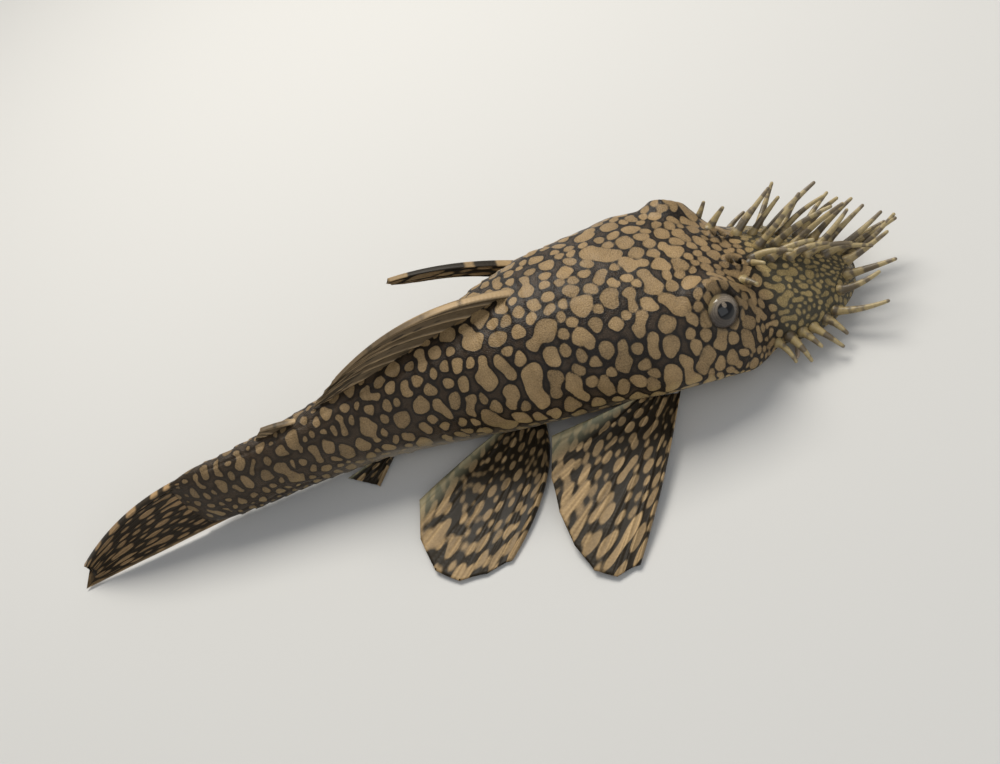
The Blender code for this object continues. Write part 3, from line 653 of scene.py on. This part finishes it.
def fin_sheet(rays, notch):
    """The middle sheet of a fin: rows go from root to margin, columns from ray to ray."""
    number = len(rays)
    ray = np.linspace(0, number - 1, (number - 1) * FIN_COLUMNS + 1)
    root, tip, bow = ([read(list(zip(range(number), column)), ray) for column in zip(*(r[k] for r in rays))]
                      for k in range(3))
    for _ in range(MARGIN_ROUNDING):
        for line in tip:
            line[1:-1] = (line[:-2] + 2 * line[1:-1] + line[2:]) / 4
    between = np.abs(np.sin(math.pi * ray)) ** 0.7
    reach = 1 - notch * between
    along = np.linspace(0, 1, FIN_STEPS)[:, None] * reach[None, :]
    sheet = np.stack([root[k] * (1 - along) + tip[k] * along + bow[k] * 4 * along * (1 - along)
                      for k in range(3)], -1)
    return sheet, along, np.broadcast_to(ray, along.shape)


def ray_ridges(along, ray, number):
    """How far a point stands on a ray: each ray splits in two, then in four, towards the margin."""
    nearest = np.round(ray)
    aside = ray - nearest
    split = 0.21 * smooth_step(0.30, 0.85, along)
    resplit = 0.10 * smooth_step(0.55, 1.0, along)
    width = 0.085 - 0.040 * smooth_step(0.3, 0.9, along)
    width = width + 0.05 * (1 - smooth_step(0.0, 0.3, along))
    ridge = np.zeros(along.shape)
    for first in (-1, 1):
        for then in (-1, 1):
            off = aside - first * split - then * resplit
            ridge = np.maximum(ridge, np.exp(-((off / width) ** 2)))
    return ridge


def fin(name, node, rays, finish, pattern, spine=(1.9, 0.9), notch=0.012, upright=False, ridge=RIDGE,
        spine_share=0.16, bend=None):
    """A fin as one closed sheet. The first ray is a stout spine, (root, tip) thick in mm."""
    sheet, along, ray = fin_sheet(rays, notch)
    points = to_metres(sheet[..., 0], sheet[..., 1], sheet[..., 2])
    if upright:
        normal = np.broadcast_to(np.array([0.0, 1.0, 0.0]), points.shape)
    else:
        normal = grid_normals(points, False)
    ridges = ray_ridges(along, ray, len(rays))
    on_spine = np.exp(-((ray / spine_share) ** 2))
    thick = MEMBRANE + (MARGIN - MEMBRANE) * along + ridge * ridges * (1 - 0.75 * along)
    stout = (spine[0] + (spine[1] - spine[0]) * along) * MM
    thick = np.maximum(thick, stout * np.sqrt(np.clip(1 - (ray / spine_share - 0.55) ** 2, 0, 1)))
    edge_fade = np.ones(thick.shape)
    edge_fade[:, -1] = 0.4
    edge_fade[:, 0] = 0.55
    half = (thick * edge_fade * HEAD_LENGTH / 2)[..., None] * normal
    upper, lower = points + half, points - half
    upper[..., 2] = np.maximum(upper[..., 2], 0.0004)
    lower[..., 2] = np.maximum(lower[..., 2], 0.0001)
    loop = np.concatenate([upper, lower[:, ::-1]], 1)
    millimetres = 1000 * points
    walked_along = np.concatenate([np.zeros((1, points.shape[1])),
                                   np.cumsum(length_of(np.diff(millimetres, axis=0)), 0)])
    middle = points.shape[1] // 2
    walked_across = np.concatenate([np.zeros((points.shape[0], 1)),
                                    np.cumsum(length_of(np.diff(millimetres, axis=1)), 1)], 1)
    walked_across = walked_across - walked_across[:, middle:middle + 1]
    fields = pattern(walked_along, walked_across, along, ray)
    fields.update({"ray": ridges, "spine": on_spine, "along": along, "walked": walked_along,
                   "inner": smooth_step(len(rays) - 1.8, len(rays) - 1.0, ray)})
    doubled = {key: np.concatenate([value, value[:, ::-1]], 1) for key, value in fields.items()}
    made = tube_object(name, loop, finish, doubled)
    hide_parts(node)
    return made


def oval_pattern(seed, radius, stretch, gap, joined=0.12):
    """Ovals that lie along the rays."""
    def pattern(walked_along, walked_across, along, ray):
        squeezed = walked_along / (stretch * (0.72 + 0.40 * along))
        flat = np.stack([squeezed, walked_across, 0 * along], -1).reshape(-1, 3)
        order = np.argsort(flat[:, 0], kind="stable")
        sizes = (radius * (0.80 + 0.35 * along)).ravel()[order]
        spots = Spots(flat[order], sizes, np.random.default_rng(seed), joined,
                      lambda centre: np.array([1.0, 0.0, 0.0]), 2)
        inside, owner = spots.fields(np.full(len(order), gap), reach=1.2)
        edge, tone = np.empty(len(order)), np.empty(len(order))
        edge[order] = inside
        tone[order] = np.random.default_rng(seed + 1).uniform(-1, 1, len(spots.sizes))[owner]
        edge = rounded(np.clip(edge.reshape(along.shape), -0.5, 0.5), 2, False)
        return {"edge": edge, "tone": tone.reshape(along.shape)}
    return pattern


def fin_finish(name, light, dark, inner=(0.40, 0.38, 0.24), line_share=0.35):
    """Tan ovals on a dark membrane, with the rays as finer lines."""
    made, paint, shader = finish_of(name)
    edge, tone, ray = paint.field("edge"), paint.field("tone"), paint.field("ray")
    along, spine = paint.field("along"), paint.field("spine")
    grain = paint.noise(2600.0, 3.0, 0.6)
    blur = paint.noise(700.0, 2.0)
    spot = (edge + 0.08 * (blur - 0.5)).rising(-0.05, 0.08)
    tan = paint.shaded(light, 1.0 + 0.18 * tone + 0.7 * (grain - 0.5) + 0.22 * (ray - 0.5))
    membrane = paint.shaded(dark, 0.8 + 0.8 * ray * line_share + 0.6 * (grain - 0.5))
    colour = paint.mixed(spot * (0.72 + 0.28 * ray), membrane, tan)
    joints = paint.maths("SINE", paint.field("walked") * 11.0)
    colour = paint.mixed(paint.field("inner") * 0.6, colour, inner)
    normal = paint.bumped(ray + 0.12 * joints * ray + 0.4 * grain, 0.00012, 0.6)
    wire(shader, Base_Color=colour, Roughness=0.46 + 0.2 * (grain - 0.5), Normal=normal,
         Coat_Weight=0.03, Coat_Roughness=0.3, Specular_IOR_Level=0.15)
    shader.inputs["Subsurface Weight"].default_value = 0.0
    return made


def streak_finish(name, light, dark):
    """Pale rays broken by dark bands, with darker membrane between them."""
    made, paint, shader = finish_of(name)
    edge, tone, ray = paint.field("edge"), paint.field("tone"), paint.field("ray")
    spine = paint.field("spine")
    grain = paint.noise(2600.0, 3.0, 0.6)
    dark_band = (edge + 0.2 * (grain - 0.5)).rising(-0.06, 0.12)
    tan = paint.shaded(light, 0.72 + 0.42 * ray + 0.15 * tone + 0.5 * (grain - 0.5))
    tan = paint.mixed((1.0 - ray) * 0.75, tan, (0.085, 0.060, 0.034))
    colour = paint.mixed(dark_band * (0.70 + 0.20 * ray), tan, dark)
    joints = paint.maths("SINE", paint.field("walked") * 11.0)
    normal = paint.bumped(ray + 0.12 * joints * ray + 0.3 * grain, 0.00012, 0.6)
    wire(shader, Base_Color=colour, Roughness=0.45 + 0.2 * (grain - 0.5), Normal=normal,
         Coat_Weight=0.03, Coat_Roughness=0.3, Specular_IOR_Level=0.15)
    return made


def dorsal(finish):
    rays = []
    for i, t in enumerate(evenly(0.0, 1.0, 8)):
        place = 1.130 + 0.650 * t
        root = (place, 0.0, float(read(BACK, place)) - 0.035)
        tip = (1.910 + 0.150 * t, -RAY_ASIDE * (-1) ** i, 0.490 - 0.095 * t)
        rays.append((root, tip, (0.0, 0.0, 0.102 * (1 - t) ** 0.9)))
    fin("dorsal_fin", "dorsal_fin", rays, finish, oval_pattern(41, 0.62, 1.8, 0.62), spine=(1.7, 0.9), upright=True)


def adipose(finish):
    rays = [((2.050, 0.0, 0.345), (2.258, 0.0, 0.398), (0.0, 0.0, 0.010)),
            ((2.180, 0.0, 0.325), (2.285, 0.0, 0.377), (0.0, 0.0, 0.0)),
            ((2.280, 0.0, 0.320), (2.304, 0.0, 0.355), (0.0, 0.0, 0.0))]
    fin("adipose_fin", "adipose_fin", rays, finish, oval_pattern(42, 0.5, 1.6, 0.5), spine=(1.3, 0.8),
        upright=True, notch=0.0)


def anal(finish):
    rays = []
    for t in evenly(0.0, 1.0, 5):
        root = (1.880 + 0.070 * t, -0.020, 0.030)
        rays.append((root, between((1.970, -0.138, 0.013), (2.090, -0.045, 0.018), t), (0.0, 0.0, 0.0)))
    fin("anal_fin", "anal_fin", rays, finish, oval_pattern(43, 0.5, 1.8, 0.5), spine=(0.9, 0.7))


def caudal(finish):
    rays = []
    for i, t in enumerate(evenly(0.0, 1.0, 14)):
        root = (TAIL_BASE - 0.030, 0.0, 0.318 - 0.292 * t)
        place, out, up = between((3.225, 0.0, 0.070), (3.250, -0.055, 0.011), t)
        tip = (place - 0.050 * math.sin(math.pi * t), out + RAY_ASIDE * (-1) ** i, up)
        rays.append((root, tip, (0.0, 0.0, 0.070 * (1 - t) ** 1.3)))
    fin("caudal_fin", "caudal_fin", rays, finish, oval_pattern(44, 0.48, 3.0, 0.34), spine=(1.2, 0.7),
        upright=True, spine_share=0.5)


def fins():
    ovals = fin_finish("fin_ovals", (0.400, 0.270, 0.135), (0.026, 0.019, 0.011))
    streaks = streak_finish("fin_streaks", (0.360, 0.250, 0.135), (0.030, 0.023, 0.015))
    for word, side, shape, seed in (("right", -1, PECTORAL_SPREAD, 51), ("left", 1, PECTORAL_SWEPT, 52)):
        name = "pectoral_fin_" + word
        fin(name, name, paired_rays(shape, side), ovals, oval_pattern(seed, 0.60, 2.0, 0.32), upright=side > 0)
    for word, side, shape, seed in (("right", -1, PELVIC_SPREAD, 53), ("left", 1, PELVIC_CLOSED, 54)):
        name = "pelvic_fin_" + word
        fin(name, name, paired_rays(shape, side), ovals, oval_pattern(seed, 0.56, 2.0, 0.30), spine=(1.4, 0.7))
    dorsal(streaks)
    adipose(streaks)
    anal(ovals)
    caudal(fin_finish("tail_ovals", (0.370, 0.235, 0.115), (0.036, 0.026, 0.016), (0.36, 0.235, 0.115)))


# Eyes

def eyes():
    for side, word in ((-1, "right"), (1, "left")):
        eye(word, side)


def eye(word, side):
    """An eyeball whose rows go round the way it looks: out, up and a little forward."""
    rows, columns = 72, 64
    looking = Vector((0.25, side * 0.74, 0.62)).normalized()
    ahead = Vector((1, 0, 0)) - looking * looking.x
    ahead.normalize()
    above = looking.cross(ahead) * -side
    off = np.linspace(0.0, math.pi, rows)
    off[0] = 0.002
    off[-1] = math.pi - 0.002
    round_it = np.linspace(0, 2 * math.pi, columns, endpoint=False)
    if side > 0:
        round_it = -round_it
    off, round_it = np.meshgrid(off, round_it, indexing="ij")
    ways = (np.cos(off)[..., None] * np.array(looking) + np.sin(off)[..., None]
            * (np.cos(round_it)[..., None] * np.array(ahead) + np.sin(round_it)[..., None] * np.array(above)))
    centre = to_metres(EYE_AT, side * EYE_OUT, EYE_UP)
    radius = EYE_RADIUS * HEAD_LENGTH * (1 + 0.05 * np.exp(-(off / 0.5) ** 2))
    points = centre + ways * radius[..., None]
    across, along = np.sin(off) * np.cos(round_it), np.sin(off) * np.sin(round_it)
    fields = {"off": off, "forward": across, "upward": along}
    made = tube_object("eyeball_" + word, points, EYE_FINISH, fields)
    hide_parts("eye_" + word)


def eye_finish():
    made, paint, shader = finish_of("eye_wet")
    off, forward, upward = paint.field("off"), paint.field("forward"), paint.field("upward")
    length = paint.maths("SQRT", forward * forward + upward * upward)
    pupil = 1.0 - length.rising(0.42, 0.46)
    lobe_high = upward - 0.30
    lobe = 1.0 - paint.maths("SQRT", forward * forward + lobe_high * lobe_high * 0.55).rising(0.09, 0.13)
    pupil = pupil * (1.0 - lobe)
    fine = paint.noise(5200.0, 3.0, 0.6)
    rings = paint.maths("SINE", length * 62.0 + 3.0 * fine)
    # The iris is painted dark below and silvery above: its silver colour, with painted shade under the pupil and
    # painted light from above
    silver_shaded_below = paint.mixed(upward.rising(-0.5, 0.7), (0.055, 0.042, 0.034), (0.300, 0.245, 0.185))
    silver_shaded_below = paint.shaded(silver_shaded_below, 0.85 + 0.12 * rings + 0.9 * (fine - 0.5))
    gold = (upward * 0.8 - forward * 0.55).rising(0.45, 0.75) * length.rising(0.55, 0.75)
    iris = paint.mixed(gold * 0.85, silver_shaded_below, (0.62, 0.46, 0.22))
    iris = paint.mixed(length.rising(0.80, 0.95), iris, (0.050, 0.040, 0.032))
    colour = paint.mixed(pupil, iris, (0.004, 0.004, 0.005))
    wire(shader, Base_Color=colour, Roughness=0.30, Coat_Weight=0.7, Coat_Roughness=0.02,
         Specular_IOR_Level=0.1)
    return made


# Bristles of the snout

# Each row: how many, its first and last roots as (place, share of the half width), length,
# lean and curl
BRISTLE_ROWS = {
    "left_crest": (7, (0.385, 0.34), (0.075, 0.34), 0.205, (0.80, 0.15), (0.25, -0.05, 0.05)),
    "ridge": (5, (0.340, 0.03), (0.070, 0.06), 0.205, (0.90, 0.05), (0.20, 0.05, -0.05)),
    "right_crest": (5, (0.385, -0.20), (0.130, -0.20), 0.180, (0.85, -0.15), (0.35, -0.25, -0.45)),
    "left_fork": (2, (0.480, 0.60), (0.460, 0.38), 0.090, (0.20, 0.10), (0.10, 0.0, 0.2)),
    "right_fork": (2, (0.400, -0.27), (0.455, -0.50), 0.075, (0.10, -0.90), (0.0, -0.20, -0.30)),
    "left_rim": (6, (0.065, 0.82), (0.400, 0.998), 0.165, (0.90, 0.90), (0.25, 0.0, 0.10)),
    "right_front": (3, (0.085, -0.76), (0.170, -0.985), 0.165, (1.10, -0.40), (0.20, 0.10, 0.05)),
    "right_rim": (5, (0.215, -0.99), (0.415, -0.998), 0.115, (0.60, -1.00), (0.10, 0.0, -0.60)),
    "brim": (4, (0.048, -0.40), (0.040, 0.55), 0.195, (1.10, 0.05), (0.20, 0.0, 0.15)),
}
BRISTLE_RADIUS, BRISTLE_TIP_RADIUS, BRISTLE_SUNK = 0.0165, 0.0062, 0.030
BRISTLE_SWAY, BRISTLE_STRAY = 0.20, 0.008


def surface_frame(place, share):
    """A point on top of the head at a share of the half width, and the way out of the skin."""
    power = float(read(ROUND_ABOVE, place)) / 2
    turn = math.acos(max(-1.0, min(1.0, math.copysign(abs(share) ** power, share))))
    nudge_turn, nudge_place = 0.05, 0.01
    def at(p, t):
        out, up = section(np.array([p]), np.array([t]))
        return Vector(to_metres(np.array([p]), out, up)[0])
    point = at(place, turn)
    normal = (at(place, turn + nudge_turn) - at(place, turn - nudge_turn)).cross(
        at(place + nudge_place, turn) - at(place - nudge_place, turn)).normalized()
    if normal.z < 0:
        normal.negate()
    return point, normal


def spike_grid(path, radii, sides):
    """Rows of points round a path, one radius for each of its points."""
    path = np.array(path)
    ways = unit(np.gradient(path, axis=0))
    side = np.cross(ways[0], [0.3, 0.2, 0.9])
    rows = []
    for point, way, radius in zip(path, ways, radii):
        side = unit(side - way * (side @ way))
        other = np.cross(way, side)
        turns = np.linspace(0, 2 * math.pi, sides, endpoint=False)[:, None]
        rows.append(point + radius * (np.cos(turns) * side + np.sin(turns) * other))
    return np.array(rows)


def bristle(place, share, length, lean, curl, chance):
    """One bristle, rooted in the snout and curving forward, with a round tip."""
    point, normal = surface_frame(place, share)
    start = (normal + Vector((*lean, 0.0))).normalized()
    sway = Vector((chance.uniform(-1, 1), chance.uniform(-1, 1), chance.uniform(-0.4, 0.8)))
    bend = Vector(curl) + BRISTLE_SWAY * sway
    reach = length * chance.uniform(0.75, 1.2) * HEAD_LENGTH
    width = BRISTLE_RADIUS * chance.uniform(0.85, 1.15)
    path, radii, shares = [point - normal * BRISTLE_SUNK * HEAD_LENGTH], [width], [0.0]
    round_end = BRISTLE_TIP_RADIUS * HEAD_LENGTH / reach
    ends = [1 - round_end * (1 - math.sin(turn)) for turn in (0.0, 0.5, 0.9, 1.25, 1.5)]
    for t in evenly(0.0, 1 - 1.6 * round_end, 22) + ends:
        path.append(point + (start + bend * t).normalized() * reach * t)
        taper = width + (BRISTLE_TIP_RADIUS - width) * t ** 0.8 + 0.005 * math.exp(-((t / 0.07) ** 2))
        inward = max(0.0, (t - 1 + round_end) / round_end)
        radii.append(taper * math.sqrt(max(0.02, 1 - inward ** 2)))
        shares.append(t)
    grid = spike_grid(path, np.array(radii) * HEAD_LENGTH, 12)
    return grid, {"along": np.array(shares)[:, None], "length": np.array(shares)[:, None] * reach * 1000}


def bristles():
    chance, tone = random.Random(11), random.Random(12)
    made = []
    for number, first, last, length, lean, curl in BRISTLE_ROWS.values():
        for t in evenly(0.0, 1.0, number):
            place, share = between(first, last, t)
            place = place + chance.uniform(-BRISTLE_STRAY, BRISTLE_STRAY)
            grid, values = bristle(place, share, length, lean, curl, chance)
            made.append((grid, {**values, "chance": tone.uniform(0, 1)}))
    joined = tubes_object("bristles", made, bristle_finish())


# The mouth, on the underside of the head

def mouth():
    """The round lips with their warts, the opening between them, combs of teeth and two barbels."""
    finish = lip_finish()
    lips(finish)
    made = []
    behind, share = 0.02, 0.85
    for side in (-1, 1):
        root = to_metres(MOUTH_AT + behind, side * MOUTH_HALF_WIDTH * share, 0.020)
        tip = to_metres(MOUTH_AT + behind + 0.055, side * (MOUTH_HALF_WIDTH + 0.085), 0.016)
        along = np.linspace(0, 1, 24)[:, None]
        radii = (0.016 + (0.007 - 0.016) * along[:, 0] ** 0.8) * HEAD_LENGTH
        radii[-3:] = radii[-3:] * (0.9, 0.7, 0.3)
        made.append((spike_grid(root + (tip - root) * along, radii, 14), {"wart": 0.5}))
    tubes_object("barbels", made, finish)
    teeth()


def lips(finish):
    """A ring of warty skin that lies flat, with a hollow in the middle."""
    knots = ((0.80, 0.82, 0.075), (0.93, 0.935, 0.052), (0.985, 0.985, 0.032), (1.0, 1.0, 0.016),
             (0.985, 0.985, 0.007), (0.94, 0.95, 0.004), (0.41, 0.71, 0.004), (0.335, 0.65, 0.010),
             (0.30, 0.61, 0.020), (0.27, 0.55, 0.045))
    rows = np.concatenate([np.linspace(0, 5, 26, endpoint=False), np.linspace(5, 6, 64, endpoint=False),
                           np.linspace(6, 9, 16)])
    half_x, half_y, up = (np.interp(rows, range(len(knots)), column)[:, None] for column in zip(*knots))
    turn = np.linspace(0, 2 * math.pi, 220, endpoint=False)[None, :]
    ring = np.clip(rows[:, None] - 5, 0, 1) * 9
    wart = 0.5 + 0.5 * np.cos(2 * math.pi * ring) * np.cos(44 * turn + math.pi * np.round(ring))
    below = smooth_step(4.6, 5.1, rows)[:, None] * smooth_step(6.2, 5.9, rows)[:, None]
    up = up + 0.008 * (1 - wart) * below
    place = MOUTH_AT - 0.005 * smooth_step(5, 7, rows)[:, None] - MOUTH_HALF_LENGTH * half_x * np.cos(turn)
    out = MOUTH_HALF_WIDTH * half_y * np.sin(turn)
    made = tube_object("lips", to_metres(place, out, up), finish, {"wart": 1 - below * (1 - wart)})


def lip_finish():
    made, paint, shader = finish_of("lip_skin")
    grain = paint.noise(2600.0, 2.0)
    colour = paint.mixed(paint.field("wart"), (0.300, 0.215, 0.150), (0.520, 0.420, 0.310))
    colour = paint.shaded(colour, 1.0 + 0.4 * (grain - 0.5))
    wire(shader, Base_Color=colour, Roughness=0.42, Normal=paint.bumped(grain, 0.0001, 0.4),
         Coat_Weight=0.15, Coat_Roughness=0.25)
    return made


def teeth():
    """Fine hooked teeth in a comb on each half of both jaws."""
    made = []
    for side in (-1, 1):
        for jaw in (-1, 1):
            for out in evenly(0.020, 0.100, 17):
                place = MOUTH_AT - 0.005 + jaw * (0.052 - 0.10 * (out - 0.02))
                root = to_metres(place, side * out, 0.052)
                tip = to_metres(place - jaw * 0.012, side * out, 0.012)
                along = np.linspace(0, 1, 7)[:, None]
                hook = np.array([jaw * 0.004 * HEAD_LENGTH, 0, 0]) * along ** 3
                radii = (0.0024 - 0.0014 * along[:, 0]) * HEAD_LENGTH
                made.append((spike_grid(root + (tip - root) * along + hook, radii, 6), {}))
    joined = tubes_object("teeth", made, plain_finish("tooth_amber", (0.55, 0.30, 0.10), 0.3))


def bristle_finish():
    made, paint, shader = finish_of("bristle_skin")
    along, chance = paint.field("along"), paint.field("chance")
    shift = {0: paint.field("length") * 0.75, 1: chance * 37.0, 2: 0.0}
    bands = paint.noise(1.0, 1.0, at=paint.node("ShaderNodeCombineXYZ", None, shift))
    fleck = paint.noise(900.0, 2.0)
    grain = paint.noise(3200.0, 3.0, 0.6)
    patch = (bands + 0.45 * (fleck - 0.5)).rising(0.42, 0.54)
    tan = paint.mixed(along, (0.310, 0.225, 0.095), (0.400, 0.310, 0.150))
    dark = paint.mixed(along, (0.090, 0.066, 0.036), (0.170, 0.125, 0.070))
    colour = paint.shaded(paint.mixed(patch, dark, tan), 1.0 + 0.6 * (grain - 0.5))
    wire(shader, Base_Color=colour, Roughness=0.45, Normal=paint.bumped(grain, 0.0001, 0.5),
         Coat_Weight=0.1, Coat_Roughness=0.3)
    return made


# Floor, light and camera

def plain_finish(name, colour, roughness):
    made, _, shader = finish_of(name)
    wire(shader, Base_Color=(*colour, 1.0), Roughness=roughness)
    return made


def floor():
    mesh = bpy.data.meshes.new("floor")
    half = 1.5
    mesh.from_pydata([(-half, -half, 0), (half, -half, 0), (half, half, 0), (-half, half, 0)], [], [(0, 1, 2, 3)])
    made = bpy.data.objects.new("floor", mesh)
    bpy.context.scene.collection.objects.link(made)
    mesh.materials.append(plain_finish("floor_paper", (0.62, 0.61, 0.59), 0.9))


def area_light(name, at, aim, size, power, colour=(1.0, 1.0, 1.0)):
    light = bpy.data.lights.new(name, "AREA")
    light.size, light.energy, light.color = size, power, colour
    made = bpy.data.objects.new(name, light)
    made.location = at
    made.rotation_euler = (Vector(aim) - Vector(at)).to_track_quat("-Z", "Y").to_euler()
    bpy.context.scene.collection.objects.link(made)


def lights():
    aim = (0.0, 0.0, 0.01)
    area_light("key", (-0.02, 0.20, 0.34), aim, 0.20, 1.50, (1.0, 0.97, 0.90))
    area_light("fill", (0.10, -0.36, 0.30), aim, 0.50, 0.75, (0.93, 0.97, 1.0))
    world = bpy.data.worlds.new("studio")
    world.use_nodes = True
    background = world.node_tree.nodes["Background"]
    background.inputs["Color"].default_value = (0.92, 0.95, 1.0, 1.0)
    background.inputs["Strength"].default_value = 0.30
    bpy.context.scene.world = world
    bpy.context.scene.view_settings.view_transform = "Standard"


def camera():
    azimuth, elevation, roll = (math.radians(v) for v in (CAMERA_AZIMUTH, CAMERA_ELEVATION, CAMERA_ROLL))
    back = Vector((math.cos(elevation) * math.cos(azimuth), math.cos(elevation) * math.sin(azimuth),
                   math.sin(elevation)))
    right = Vector((0, 0, 1)).cross(back).normalized()
    above = back.cross(right)
    turned_right = right * math.cos(roll) + above * math.sin(roll)
    turned_above = above * math.cos(roll) - right * math.sin(roll)
    data = bpy.data.cameras.new("camera")
    data.lens, data.sensor_width, data.clip_start = CAMERA_LENS, 36.0, 0.005
    made = bpy.data.objects.new("camera", data)
    turn = Matrix((turned_right, turned_above, back)).transposed().to_4x4()
    made.matrix_world = Matrix.Translation(CAMERA_AT) @ turn
    bpy.context.scene.collection.objects.link(made)
    bpy.context.scene.camera = made


EYE_FINISH = eye_finish()
skin()
fins()
eyes()
bristles()
mouth()
floor()
lights()
camera()
